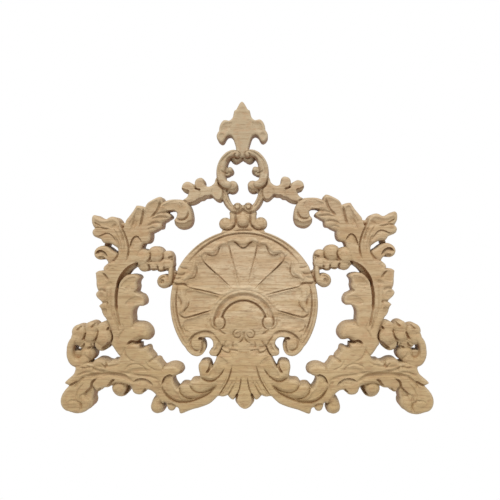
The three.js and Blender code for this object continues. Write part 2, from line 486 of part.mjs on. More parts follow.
// Standing leaf: the deep valley behind the inner lobe, then soft scoops on the outer lobes.
hollow([[149.4, 40.8], [153.6, 37], [157.6, 32.6], [161, 27], [163.4, 22], [164.4, 26],
  [161.6, 35.6], [157.2, 42.6], [152, 48.4], [147, 52], [140, 55], [136, 55.4], [140, 50],
  [145, 46.4]], 7.5, 2.6);
groove([[160.6, 31], [162.6, 25], [163.7, 20], [164.4, 15], [164.8, 6.7], [164.5, -1.7],
  [164, -9]], 2.1, 5);
groove([[164.2, -5], [162.7, -15], [161.3, -22], [159.4, -30]], 1.7, 2);
groove([[168, -6], [166.4, -17], [163.6, -27], [160.6, -36]], 1.5, 1.2);
groove([[175, 31.6], [176, 35.4], [178.6, 39.2], [183, 43]], 1.6, 1.6);
hollow([[172, 51], [176, 53.6], [179.6, 51.4], [180.6, 48], [176.6, 45], [173, 47]], 1, 4);
hollow([[178, 40], [183, 43.4], [190, 42], [189.6, 34], [188, 28], [181, 30], [177, 34]], 1, 5);
groove([[169, 29.6], [173.6, 27.6], [178, 25.2]], 3.4, 1.2);
groove([[188.4, 19.4], [183, 20.4], [177, 17.6]], 2.2, 1.4);
hollow([[184, 17.4], [190, 16.4], [189.4, 12], [185, 8], [180, 8.6], [180, 14]], 1, 4);
groove([[183.6, 3.6], [179, 4.4], [174, 2]], 2, 1.4);
hollow([[177.6, -3.4], [183.6, -4], [184, -9.6], [181.4, -13.4], [177.6, -12], [176.6, -7]], 2, 3);
groove([[136.6, 20.4], [138.8, 18.6], [141.4, 17]], 1.6, 2.4);
groove([[144.6, 26], [150, 22], [155, 18]], 3.4, 0.9);
hollow([[139, 37], [146, 36.6], [154, 31.6], [158.6, 24], [154, 22], [146, 25.6], [141, 29]], 1.2, 5);
hollow([[131, 10], [139, 12], [148, 8.6], [153, 2], [146, -0.6], [136, 2], [130, 4.6]], 1.2, 5);
groove([[128.6, -25.4], [134, -27.4], [140, -27.4], [147, -28.4]], 2, 1);
groove([[131, -46.4], [135, -46.2], [138.3, -48.4], [140.8, -48.2], [145, -46.4],
  [148.3, -48], [151.4, -51.4]], 2, 5);
groove([[155.6, -51], [155, -58], [151.4, -66], [146, -70.6], [139, -73]], 1.8, 1);

// Branch and bottom lobes.
groove([[107, -65.8], [109, -69], [111.4, -72]], 1.7, 2.6);
groove([[102.4, -76.8], [104.6, -80.4], [105, -84]], 1.3, 1.6);
groove([[117, -67.6], [120.4, -71.4], [124, -73.6]], 2, 1.4);
groove([[126, -86.6], [130, -79.4], [139, -75.4], [149, -77.6], [154.6, -84.6]], 1.5, 0.9);
groove([[158, -73], [164, -76.4], [174, -78.6], [186, -79], [196, -77.4]], 2.2, 1);
groove([[106, -101], [112, -95.6], [122, -91.6], [136, -90], [150, -87.6], [166, -84]], 2.2, 1.3);
groove([[172, -85.4], [186, -83.6], [200, -79], [210, -76.4]], 1.8, 1);
groove([[196, -86], [208, -86.6], [218, -91]], 1.8, 1.2);
groove([[142.4, -99.6], [148, -95.8], [155, -91.6], [165, -89.4], [178, -88.8], [190, -89.4],
  [202, -91], [213, -92.6]], 3.8, 3.2);
lip([[144, -99], [142, -96.6], [138, -94.4], [132, -93.6], [125.4, -95], [120, -99], [117, -104]],
  12, 3);
groove([[167, -95.6], [171, -97], [173.4, -100.4], [178, -105.8]], 1.9, 3.4);
groove([[190, -94], [194, -95.8], [197.4, -99.4], [198.4, -104.6], [203.4, -110.4],
  [210.4, -116]], 1.7, 3.4);
groove([[206, -91.6], [212.4, -96], [217, -101.4], [220.4, -107]], 2, 1.8);
groove([[215.6, -97], [221.6, -100.6], [228.4, -103.8]], 1.7, 3);
groove([[198.6, -79.6], [206, -80.6], [213, -80]], 1.7, 1.6);
groove([[179, -84.4], [187, -84.8], [193.4, -83.6], [197.4, -78.6]], 1.8, 1.6);
groove([[177.6, -70], [178.6, -74], [178, -79.6]], 1.7, 2.6);
groove([[186, -74.4], [182, -77.6], [178.6, -81]], 1.6, 1.3);
groove([[122, -84], [132, -82.6], [142, -83.6], [152, -86.4]], 3.2, 1.1);
groove([[163, -70.4], [169, -71.6], [172, -72.6]], 1.8, 1.6);
ball(223.6, -123, 15.8, 15, 6.6, false);
patch([[196, -106], [207, -110], [214, -122], [212, -138], [203, -134], [199, -124]], base, 3, 5, false);
ball(207.6, -125.6, 10.4, 14, 6, false);
groove([[207.4, -112], [212, -117.4], [212.6, -125], [211.8, -131.6], [215, -138.6]], 2.2, 1.2);
groove(arc(221.6, -131, 9.4, 9.4, 200, 25, 12), 1.5, 0.8);
lip([[232, -135.6], [224, -138], [216, -136.4]], 3.4, 1.6);
ball(113.6, -132, 9, 12.5, 8, false);
ball(136, -105, 10.4, 11, 6, false);
ball(189.6, -103.6, 7, 14, 5, false);
ball(161.8, -108, 11.4, 13, 3, false);
ball(163.6, -107.6, 9.4, 14, 5.4, false);
groove([[153, -102.4], [152, -107.6], [153.8, -112.6], [158, -117.4]], 2, 6);
groove([[127.6, -106.6], [130, -110], [132.6, -112.6]], 1.1, 2.6);
groove([[186, -105.6], [188.4, -108.6], [192, -110]], 1.1, 2);

// Bottom sweep: side volute, its two lobes, the long scroll groove and the hook under the nose.
lip([[24, -80], [28, -87.4], [33.4, -93.6], [38.2, -97.4], [43.6, -99], [48.6, -98.4],
  [53.4, -95.6], [57.6, -91]], 8, 3.6);
groove([[44, -72.6], [43.6, -77], [44.8, -81.4], [47, -85], [49.6, -88.2]], 1.8, 3.8);
lip([[34, -101], [39, -107], [44.6, -110.8], [51, -112.6], [57.4, -113.4], [63.6, -111.8],
  [68, -108], [70.4, -103.4], [70.4, -98]], 6, 2.2);
lip([[64, -121.4], [70.2, -121.6], [75.4, -120], [80, -117], [83.2, -112.4], [84, -106.8],
  [82.4, -101.6]], 7, 2.4);
lip([[33, -101.6], [39.8, -109.6], [46.2, -115], [54.2, -119.2], [62.2, -122.4],
  [70.2, -125], [78.2, -126], [86.2, -125.6], [92.8, -123.2], [98.6, -119], [102.8, -113.8],
  [105.8, -107.6], [106.2, -100]], 9, 3.8);
lip([[107, -103], [105.2, -95.4], [101.4, -90.8], [96, -88.8], [89.6, -90.6]], 9, 4);
hollow([[93, -95], [98, -92.6], [102.4, -96], [103.4, -104], [100, -112], [92, -118], [82, -121],
  [84, -115], [90, -108], [92, -101]], 1.4, 6);
groove([[110, -112.6], [108.6, -107], [110.6, -101], [114.6, -96.6]], 2.2, 1.2);
groove([[88.6, -131], [92, -128.2], [96.6, -127], [100.6, -128.4]], 1.9, 2.2);

// Pendant plume.
groove([[14.6, -76], [16.4, -82], [17.9, -88], [20, -94.4], [23.2, -100.8], [27.2, -107.2],
  [31.2, -113.4], [35, -118.6]], 1.2, 2.2);
groove([[4, -92], [4.8, -100], [6.6, -108.4], [9.4, -114.6], [11, -118]], 1, 2);
groove([[9, -90], [10.6, -98], [13.4, -106], [16.4, -112]], 1.2, 0.9);
groove([[14, -96], [18.6, -105], [23.4, -112]], 1.2, 0.9);
groove([[21, -90], [25, -99], [29.6, -106.6], [33, -111]], 1.3, 0.9);
groove([[23, -106], [26.6, -111.6], [30, -116]], 1, 0.8);
groove([[12.6, -101], [15.2, -105.6], [17.6, -110.2], [20.4, -114.4], [22, -117]], 1.2, 1.8);
patch(mirrored([[0, -99], [4.4, -103], [7.2, -110], [10, -116.4], [12.1, -122], [11.4, -126],
  [9.4, -129.6], [6, -133.2], [3, -134.8], [0, -135.4]]), 15, 6, 9, false);
groove([[9.6, -115.4], [11.4, -121.6], [10.8, -125.8], [8.8, -129.2], [5.6, -132.6], [2.8, -134],
  [0, -134.5], [-2.8, -134]], 2, 5.4, true);
hollow([[20, -76], [26, -80], [33, -90], [40, -93], [45, -92], [43, -84], [38, -80], [36, -72],
  [32, -66], [26, -68]], 1.6, 8);

// Disc: rim lines and the ribbon that wraps the rim.
groove([...arc(0, 0.8, 90.8, 90.8, 112, 75, 10), ...arc(0, 0.8, 90.4, 88.3, 70, 34, 10)], 1.5, 2.4);
groove([...arc(0, 0.8, 94.6, 94.6, 112, 78, 10), ...arc(0, 0.8, 94.2, 94.2, 72, 36, 10)], 1.3, 1.8);
groove([[83.6, 27], [85.4, 21], ...arc(0, 0.8, 87.5, 86.4, 8, -30, 12)], 1.3, 2.2);
groove([...arc(0, 0.8, 91.4, 90.6, 12, -33, 14), [75, -49], [72, -55.6], [67, -60.6]], 1.1, 1);
groove([[71, 47], [77, 47.4], [83, 49.5]], 1.5, 1.4);
groove([[74, 42.6], [78, 39.4], [84, 39.4], [91, 41.6]], 1.6, 1.6);
groove([[71, 23.4], [75.4, 26.6], [80, 27.4], [86, 27], [92, 29.6]], 1.9, 2.8);
groove([[80, 36], [85, 33.6], [91, 35]], 1.8, 1.2);

// Disc: scooped lobes of the shell, then the valleys between them and their curled rims.
hollow(mirrored([[0, 74], [4, 75], [8, 79], [14, 80], [18, 77], [17, 66], [11, 46], [5, 24],
  [0, 23]]), 1.7, 9);
hollow([[19, 78], [26, 76], [31, 73], [33, 66], [38, 63], [46, 65], [49, 57], [40, 47], [15, 23],
  [8, 26], [13, 50]], 1.9, 9);
hollow([[50, 55], [57, 54], [60, 47], [61, 38], [66, 34], [72, 32], [73, 26], [60, 21.5],
  [30, 14.5], [18, 21], [34, 39]], 1.9, 9);
hollow([[73, 21], [75, 13], [71, 5], [71, -1], [75, -7], [74, -13], [58, -10], [43, -5.6],
  [37, 4], [31, 10], [50, 15.5]], 1.9, 9);
hollow([[66, -16.6], [76, -19.6], [78, -26], [73, -33], [62, -30], [49, -29], [46, -20],
  [44, -11]], 1.9, 8);
groove([[18.6, 84], [18.4, 74], [15.6, 64], [11, 46], [5, 23]], 1.7, 1.1);
groove([[53.6, 64], [52.4, 58], [47, 51.6], [30, 35.6], [13.6, 19.6]], 1.2, 1.7);
groove([[76, 26], [70, 22.6], [56, 19.4], [42, 15.8], [27, 12]], 1.3, 1.9);
groove([[84.6, -8], [82, -13], [76.4, -16.2], [68, -14.6], [54, -10.6], [41, -6.8]], 1.5, 2.3);
groove([[79, -25], [77, -32], [70, -35]], 1.8, 1.8);
groove([[84.6, 14], [83.6, 9], [80.6, 3.4], [79.4, -3]], 1.8, 1.8);
ribbon([[-8, 83.4, 4], [0, 80.6, 5], [7, 83, 4.6], [13, 84.6, 3.4], [18, 82, 2.4]],
  17, 3.6, 4.6, false);
ribbon([[24, 80, 2.6], [30.6, 78.6, 3.4], [35.4, 73.6, 4], [39.4, 69.4, 4], [45, 69.6, 3.8],
  [50.4, 69, 3.4], [54.4, 64.6, 2.6]], 17, 3.6, 4, false);
ribbon([[62.6, 56, 2.4], [64.4, 48, 3.4], [66.6, 41.4, 3.8], [71.4, 38, 3.4], [76, 33.6, 2.6]],
  17, 3.4, 3.8, false);
ribbon([[79.6, 19, 2.6], [78.4, 11, 3.8], [76, 3.4, 4.2], [78, -2.6, 3.6], [80.6, -8, 2.6]],
  17, 3.4, 4.2, false);
lip([[14, 80], [11, 81], [8, 79.5], [4, 75], [0, 73.5], [-5, 77]], 5, 1.6);
groove([[15, 80], [11, 81], [8, 79.5], [4, 75], [0, 73.5], [-4, 75], [-8, 79.5]], 1.1, 1.5);
groove([[26, 76], [30, 74.8], [32, 69.4], [34, 65.2], [37, 63.5], [42, 63.8], [47, 65.5],
  [50, 63]], 1.2, 1.9);
groove([[61, 53], [60.2, 46], [60.6, 40], [63, 36], [66, 34.6], [70, 33.8], [74, 30.6]], 1.2, 1.9);
groove([[71.4, 6], [71, 3], [72, -2], [76, -6], [78, -11]], 1.2, 1.9);

// Disc: the arch with its bead and cove, the smooth shield inside it and the end balls.
ball(0, -20, 27.6, 17.4, 3.8, false);
groove(arc(0, -23.4, 36, 36, 188, -4, 34), 3.6, 2.8, true);
groove(arc(0, -23.4, 28.7, 28.7, 168, 12, 30), 1.7, 3, true);
groove(arc(0, -23.4, 42.4, 42.4, 170, 8, 30), 1.2, 0.6);
ball(31.6, -22.8, 7.2, 17, 3.4, false);
groove([[36.6, -13], [38.2, -18], [37.8, -24], [35, -28.2]], 1.9, 1.4);
groove([[42.4, -14], [43, -21], [41.2, -27.4], [37, -31], [31.4, -31.6]], 1.3, 1.3);
groove([[28.4, -14], [25.4, -17.6], [24, -22], [25, -27], [28, -30.4], [31.6, -31.4]], 1.3, 2.3);
groove([[33, -30.6], [28.4, -35], [22.4, -38.4]], 1.7, 1.7);

// Disc: small spirals, their stems and the frill over the plume.
groove(arc(8.6, -37, 5.6, 4.8, 110, -200, 18), 1.1, 1.5);
groove(arc(8, -37, 2.4, 1.4, 160, -60, 8), 0.9, 0.9);
groove([[2.6, -32.4], [0.6, -36], [0.8, -41.6], [3.4, -46.4], [9, -49.8]], 1.2, 1.5);
lip([[37, -67], [34.6, -64.6], [31, -60.4], [29.5, -55.5, 1], [26, -59.4], [22, -61.2],
  [19, -61.8, 1], [18, -57.5, 1], [12, -58], [6, -60.6]], 8, 3.4);
groove([[38, -39.6], [34, -44.4], [30.6, -50], [29.6, -56]], 1.3, 1.6);
groove([[22, -45], [24.6, -50], [24.4, -56]], 1.4, 1.2);
groove([[13, -46.6], [14.6, -51], [14, -56]], 1.4, 1);
groove([[7, -51.4], [12.6, -53.4], [17.6, -52]], 3.2, 1.2);
groove([[19.6, -50], [22, -55], [26, -54.4], [29, -50]], 2.8, 1.4);

// Disc: the lower volutes.
groove([[36, -43], [38.6, -39.2], [43.4, -36.6], [50, -35.6], [57.4, -37], [64, -40.4],
  [68.6, -45], [70.6, -51]], 3, 2);
groove([[37, -39.4], [42, -35.2], [50, -33.6], [58, -35.2], [65, -38.8], [70, -44.6], [72, -50],
  [71, -56]], 1.4, 1.6);
ball(60, -51.6, 9, 14.6, 5.6, false);
groove([[66.4, -42.6], [68.8, -47], [68.6, -52.6], [66, -56.8], [61, -58.8], [56, -57.4]], 1.5, 1.8);
hollow([[50.6, -43.4], [53.4, -41.4], [58.6, -42], [58.6, -45], [54.4, -45.4], [52.4, -48]], 6, 3);
groove([[54, -44], [52.2, -49], [52, -54.6], [53.6, -59.6], [57, -63.4]], 3, 5);
groove([[30.2, -56], [31.6, -60.6], [35.8, -66.8]], 1.1, 1.6);
groove([[33.4, -48], [34.6, -54], [38.6, -60]], 1.8, 1.2);
groove([[74, -38], [72.6, -44], [73.6, -51]], 1.3, 1);

// Upper berries and the rim scroll: creases where one berry tucks behind the next.
groove([[121.4, 71], [119.8, 64.2], [121.8, 59.2], [126, 54.8]], 1.4, 2.6);
groove([[98, 46.2], [103, 44.4], [108, 44], [111.4, 45.8], [117, 46], [122.4, 46.2]], 1.7, 4, true);
groove([[111.4, 45.4], [110.6, 48.4], [111.6, 51.4]], 1.4, 2.6);
groove([[122.6, 45.6], [122, 49.4], [123.8, 53.4]], 1.5, 2.8);
groove([[103.4, 44.4], [102.4, 47.2], [103.4, 50]], 1.4, 2.8);
groove([[133, 49], [137, 52.6], [138.6, 56]], 1.1, 1);
groove([[104.4, 68.8], [103.3, 63.3], [105.8, 58.3], [111, 54.4]], 1.3, 1.4);
groove([[91, 62.6], [94.6, 62], [97.4, 60.6]], 1.7, 3);
groove(arc(98, 52.3, 5, 5, 210, 420, 12), 1, 0.9);
groove([[99.6, 35.6], [103.6, 36.4], [107.4, 33.6], [107.2, 29.4], [103.6, 27.6]], 1.5, 2.2);
hollow([[102, 33], [105.4, 33.6], [106, 29.4], [103.4, 28.4]], 2.4, 1.8);
groove([[97.6, 46], [98, 40], [99, 35.6]], 1.3, 1.6);

// Lower berries and the side curl.
hollow([[175.4, -27.6], [177.4, -28.4], [178.6, -32], [176.8, -32.6]], 3, 1.4);
groove([[174.6, -32], [171, -38.6], [171.4, -44.4], [174.6, -50.4]], 1.4, 3);
groove([[172.6, -47], [177, -51.6], [180.6, -55], [185.6, -57.6]], 3.2, 6.4);
groove([[200.6, -71.4], [206, -66], [207.6, -60]], 2.4, 1);
groove([[190.2, -30.6], [190.2, -37.5], [192.4, -43], [196.2, -45.8], [199.4, -45.8]], 1.6, 3);
groove([[205.6, -34], [207.5, -40], [211.4, -46]], 1.6, 3);
groove([[193.6, -24], [197.6, -27.6]], 1.7, 2.6, true);
groove([[212.4, -27.6], [216.4, -31.2]], 1.5, 2.2, true);
groove([[195.6, -55.6], [199.6, -54.2], [204.6, -56]], 1.7, 3);
groove([[199.4, -50.6], [198.4, -54]], 1.4, 2, true);
groove([[207.6, -48], [209.6, -52.6], [213.6, -54.4]], 1.5, 2.4);
patch([[212, -61], [222, -59.6], [224, -68], [214, -71]], base, 1, 3, false);

// A length that counts as none, in drawing millimetres.
const tiny = 1e-6;

// Outline of the drawn material, inside kept on the left, running along the axis where it meets it.
function traceLoops() {
  const value = (i, j) => (i < 0 ? openAir : within[j * columns + i] || -tiny);
  const next = new Map();
  const place = new Map();
  const crossing = (i, j, di, dj) => {
    const key = `${i},${j},${di}`;
    if (!place.has(key)) {
      const a = value(i, j);
      const t = a / (a - value(i + di, j + dj));
      place.set(key, [Math.max(0, (i + t * di) * fieldStep), sheetBottom + (j + t * dj) * fieldStep]);
    }
    return key;
  };
  for (let j = 0; j < rows - 1; j += 1) {
    for (let i = -1; i < columns - 1; i += 1) {
      const corner = [value(i, j), value(i + 1, j), value(i + 1, j + 1), value(i, j + 1)];
      const solid = corner.map((v) => v > 0);
      const total = solid.filter(Boolean).length;
      if (total === 0 || total === 4) continue;
      const edges = [
        () => crossing(i, j, 1, 0),
        () => crossing(i + 1, j, 0, 1),
        () => crossing(i, j + 1, 1, 0),
        () => crossing(i, j, 0, 1),
      ];
      const leaving = [];
      const entering = [];
      for (let k = 0; k < 4; k += 1) {
        const after = (k + 1) % 4;
        if (solid[k] && !solid[after]) leaving.push(k);
        if (!solid[k] && solid[after]) entering.push(k);
      }
      const joined = corner[0] + corner[1] + corner[2] + corner[3] > 0;
      leaving.forEach((k) => {
        const options = entering.map((e) => (e - k + 4) % 4);
        const pick = leaving.length === 1 || joined ? Math.min(...options) : Math.max(...options);
        next.set(edges[k](), edges[(k + pick) % 4]());
      });
    }
  }
  const loops = [];
  while (next.size > 0) {
    const start = next.keys().next().value;
    const loop = [];
    let key = start;
    while (next.has(key)) {
      const following = next.get(key);
      next.delete(key);
      loop.push(place.get(key));
      key = following;
    }
    loops.push(loop);
  }
  return loops;
}

function area(loop) {
  return loop.reduce((sum, a, i) => {
    const b = loop[(i + 1) % loop.length];
    return sum + (a[0] * b[1] - b[0] * a[1]) / 2;
  }, 0);
}

// Drops the points that lie within the tolerance of the straight run between their neighbours.
function thinned(points, tolerance) {
  const first = points[0];
  const last = points[points.length - 1];
  const ux = last[0] - first[0];
  const uz = last[1] - first[1];
  const length = Math.hypot(ux, uz) || 1;
  let worst = 0;
  let at = 0;
  for (let i = 1; i < points.length - 1; i += 1) {
    const off = Math.abs((points[i][0] - first[0]) * uz - (points[i][1] - first[1]) * ux) / length;
    if (off > worst) {
      worst = off;
      at = i;
    }
  }
  if (worst <= tolerance) return [first, last];
  const start = thinned(points.slice(0, at + 1), tolerance);
  return [...start.slice(0, -1), ...thinned(points.slice(at), tolerance)];
}

// A closed loop thinned in two runs, from its highest point to the one furthest from that.
function thinnedLoop(loop) {
  const start = loop.reduce((best, p, i) => (p[1] > loop[best][1] ? i : best), 0);
  const turned = [...loop.slice(start), ...loop.slice(0, start)];
  const far = turned.reduce((best, p, i) => {
    const gap = Math.hypot(p[0] - turned[0][0], p[1] - turned[0][1]);
    return gap > best[0] ? [gap, i] : best;
  }, [0, 0])[1];
  const there = thinned(turned.slice(0, far + 1), outlineTolerance);
  const back = thinned([...turned.slice(far), turned[0]], outlineTolerance);
  return [...there.slice(0, -1), ...back.slice(0, -1)];
}

// Stops along the axis where the carved profile bends, so that the mirrored halves share it.
function withAxisStops(loop) {
  const profileTolerance = 0.5;
  return loop.flatMap((a, i) => {
    const b = loop[(i + 1) % loop.length];
    if (a[0] > tiny || b[0] > tiny) return [a];
    const span = Math.abs(b[1] - a[1]);
    const down = Math.sign(b[1] - a[1]);
    const profile = Array.from({ length: Math.max(1, Math.round(span)) + 1 }, (unused, k) => {
      const z = k === 0 ? a[1] : Math.abs(k - span) < 0.5 ? b[1] : a[1] + down * k;
      return [z, surfaceHeight(0, z)];
    });
    return thinned(profile, profileTolerance).slice(0, -1).map((p) => [0, p[0]]);
  });
}

// Height of the front between the field nodes, taken from those inside the outline.
function surfaceHeight(x, z) {
  const u = x / fieldStep;
  const v = (z - sheetBottom) / fieldStep;
  const i = Math.min(columns - 2, Math.floor(u));
  const j = Math.min(rows - 2, Math.floor(v));
  let sum = 0;
  let weight = 0;
  [[0, 0], [1, 0], [0, 1], [1, 1]].forEach(([di, dj]) => {
    const index = (j + dj) * columns + i + di;
    const share = (1 - Math.abs(u - i - di)) * (1 - Math.abs(v - j - dj)) + tiny;
    if (within[index] > 0) {
      sum += share * height[index];
      weight += share;
    }
  });
  return weight > 0 ? sum / weight : base;
}

// Delaunay net of the drawing that keeps the outline and takes relief points one by one.
const px = [];
const pz = [];
const corners = [];
const across = [];
const fixed = new Set();

// The net starts as one triangle that reaches this far beyond the drawing.
const netReach = 1e3;

// One number for the edge between two points, whichever way it runs, in a net of fewer points than this.
const mostPoints = 1e6;
const edgeKey = (a, b) => (a < b ? a * mostPoints + b : b * mostPoints + a);

function turn(a, b, x, z) {
  return (px[b] - px[a]) * (z - pz[a]) - (pz[b] - pz[a]) * (x - px[a]);
}

// Walks from one triangle to the one that holds the place.
function locate(x, z, from) {
  let t = from;
  for (let steps = 0; steps < corners.length; steps += 1) {
    const k = [0, 1, 2].find((e) => turn(corners[3 * t + e], corners[3 * t + ((e + 1) % 3)], x, z) < 0);
    if (k === undefined) return t;
    t = across[3 * t + k];
  }
  return t;
}

function setTriangle(t, vertices, neighbours) {
  for (let k = 0; k < 3; k += 1) {
    corners[3 * t + k] = vertices[k];
    across[3 * t + k] = neighbours[k];
  }
}

function pointBack(t, oldNeighbour, newNeighbour) {
  if (t < 0) return;
  for (let k = 0; k < 3; k += 1) {
    if (across[3 * t + k] === oldNeighbour) {
      across[3 * t + k] = newNeighbour;
      return;
    }
  }
}

// True where the fourth point lies in the circle through the other three.
function inCircle(a, b, c, d) {
  const ax = px[a] - px[d];
  const az = pz[a] - pz[d];
  const bx = px[b] - px[d];
  const bz = pz[b] - pz[d];
  const cx = px[c] - px[d];
  const cz = pz[c] - pz[d];
  return (ax * ax + az * az) * (bx * cz - cx * bz) - (bx * bx + bz * bz) * (ax * cz - cx * az)
    + (cx * cx + cz * cz) * (ax * bz - bx * az) > tiny;
}

// Adds a point to the net and returns the triangles that changed.
function addPoint(x, z, from) {
  const t = locate(x, z, from);
  const p = px.push(x) - 1;
  pz.push(z);
  const [a, b, c] = corners.slice(3 * t, 3 * t + 3);
  const [ab, bc, ca] = across.slice(3 * t, 3 * t + 3);
  const t2 = corners.length / 3;
  const t3 = t2 + 1;
  setTriangle(t, [a, b, p], [ab, t2, t3]);
  setTriangle(t2, [b, c, p], [bc, t3, t]);
  setTriangle(t3, [c, a, p], [ca, t, t2]);
  pointBack(bc, t, t2);
  pointBack(ca, t, t3);
  const changed = new Set([t, t2, t3]);
  const pending = [t, t2, t3];
  while (pending.length > 0) {
    const s = pending.pop();
    const k = [0, 1, 2].find((e) => corners[3 * s + ((e + 2) % 3)] === p);
    const n = k === undefined ? -1 : across[3 * s + k];
    if (n < 0) continue;
    const u = corners[3 * s + k];
    const v = corners[3 * s + ((k + 1) % 3)];
    if (fixed.has(edgeKey(u, v))) continue;
    const m = [0, 1, 2].find((e) => corners[3 * n + e] === v && corners[3 * n + ((e + 1) % 3)] === u);
    const w = corners[3 * n + ((m + 2) % 3)];
    if (!inCircle(u, v, p, w)) continue;
    const vp = across[3 * s + ((k + 1) % 3)];
    const pu = across[3 * s + ((k + 2) % 3)];
    const uw = across[3 * n + ((m + 1) % 3)];
    const wv = across[3 * n + ((m + 2) % 3)];
    setTriangle(s, [u, w, p], [uw, n, pu]);
    setTriangle(n, [w, v, p], [wv, vp, s]);
    pointBack(uw, n, s);
    pointBack(vp, s, n);
    changed.add(s);
    changed.add(n);
    pending.push(s, n);
  }
  return changed;
}

function insideLoops(loops, x, z) {
  let odd = false;
  loops.forEach((loop) => {
    loop.forEach((a, i) => {
      const b = loop[(i + 1) % loop.length];
      const crosses = (a[1] > z) !== (b[1] > z);
      if (crosses && x < a[0] + ((b[0] - a[0]) * (z - a[1])) / (b[1] - a[1])) odd = !odd;
    });
  });
  return odd;
}

function centroidInside(loops, t) {
  const [a, b, c] = corners.slice(3 * t, 3 * t + 3);
  return a > 2 && b > 2 && c > 2
    && insideLoops(loops, (px[a] + px[b] + px[c]) / 3, (pz[a] + pz[b] + pz[c]) / 3);
}

// Least distance of a relief point from the outline, in drawing millimetres, and its least share
// of each corner of the triangle that it divides.
const clearance = 0.9;
const leastShare = 0.02;

// The field node that stands furthest off a triangle of the net.
function worstNode(t, heights) {
  const [a, b, c] = corners.slice(3 * t, 3 * t + 3);
  const xs = [px[a], px[b], px[c]];
  const zs = [pz[a], pz[b], pz[c]];
  const whole = (xs[1] - xs[0]) * (zs[2] - zs[0]) - (xs[2] - xs[0]) * (zs[1] - zs[0]);
  let best = [0, -1, 0, 0];
  for (let j = Math.ceil((Math.min(...zs) - sheetBottom) / fieldStep);
    j <= (Math.max(...zs) - sheetBottom) / fieldStep; j += 1) {
    const z = sheetBottom + j * fieldStep;
    for (let i = Math.ceil(Math.min(...xs) / fieldStep); i <= Math.max(...xs) / fieldStep; i += 1) {
      const index = j * columns + i;
      if (within[index] < clearance) continue;
      const x = i * fieldStep;
      const wa = ((xs[1] - x) * (zs[2] - z) - (xs[2] - x) * (zs[1] - z)) / whole;
      const wb = ((xs[2] - x) * (zs[0] - z) - (xs[0] - x) * (zs[2] - z)) / whole;
      const wc = 1 - wa - wb;
      if (Math.min(wa, wb, wc) < leastShare) continue;
      const off = Math.abs(height[index] - wa * heights[a] - wb * heights[b] - wc * heights[c]);
      if (off > best[0]) best = [off, index, x, z];
    }
  }
  return best;
}

// Lays the outline into the net, halving each of its edges until the net holds it.
function buildNet(loops) {
  px.push(-netReach, 2 * netReach, -netReach);
  pz.push(-2 * netReach, 0, 2 * netReach);
  setTriangle(0, [0, 1, 2], [-1, -1, -1]);
  let wanted = [];
  loops.forEach((loop) => {
    const first = px.length;
    loop.forEach(([x, z]) => addPoint(x, z, corners.length / 3 - 1));
    loop.forEach((unused, i) => wanted.push([first + i, first + ((i + 1) % loop.length)]));
  });
  while (wanted.length > 0) {
    const present = new Set();
    for (let t = 0; t < corners.length / 3; t += 1) {
      for (let k = 0; k < 3; k += 1) {
        present.add(edgeKey(corners[3 * t + k], corners[3 * t + ((k + 1) % 3)]));
      }
    }
    wanted.filter(([a, b]) => present.has(edgeKey(a, b))).forEach(([a, b]) => fixed.add(edgeKey(a, b)));
    const missing = wanted.filter(([a, b]) => !present.has(edgeKey(a, b)));
    wanted = [];
    missing.forEach(([a, b]) => {
      const middle = px.length;
      addPoint((px[a] + px[b]) / 2, (pz[a] + pz[b]) / 2, corners.length / 3 - 1);
      wanted.push([a, middle], [middle, b]);
    });
  }
}

// Adds relief points where the net stands furthest off the field. Each is nudged off its node,
// so that no four of them lie on one circle.
function refineNet(loops) {
  const nudge = 0.01;
  const heights = px.map((x, p) => (p > 2 ? surfaceHeight(x, pz[p]) : 0));
  const outlinePoints = px.length;
  const solid = [];
  const flat = [];
  for (let t = 0; t < corners.length / 3; t += 1) {
    solid[t] = centroidInside(loops, t);
    if (solid[t]) flat.push(corners.slice(3 * t, 3 * t + 3));
  }
  const worst = solid.map((keep, t) => (keep ? worstNode(t, heights) : [0, -1]));
  while (px.length < outlinePoints + reliefPoints) {
    const t = worst.reduce((best, w, s) => (w[0] > worst[best][0] ? s : best), 0);
    const [off, index, x, z] = worst[t];
    if (off < outlineTolerance) break;
    const aside = nudge * Math.sin(index);
    heights.push(height[index]);
    addPoint(x + aside, z - aside / 2, t).forEach((s) => {
      if (solid[s] === undefined) solid[s] = true;
      worst[s] = solid[s] ? worstNode(s, heights) : [0, -1];
    });
  }
  const net = [];
  solid.forEach((keep, t) => {
    if (keep) net.push(corners.slice(3 * t, 3 * t + 3));
  });
  return { heights, flat, net };
}

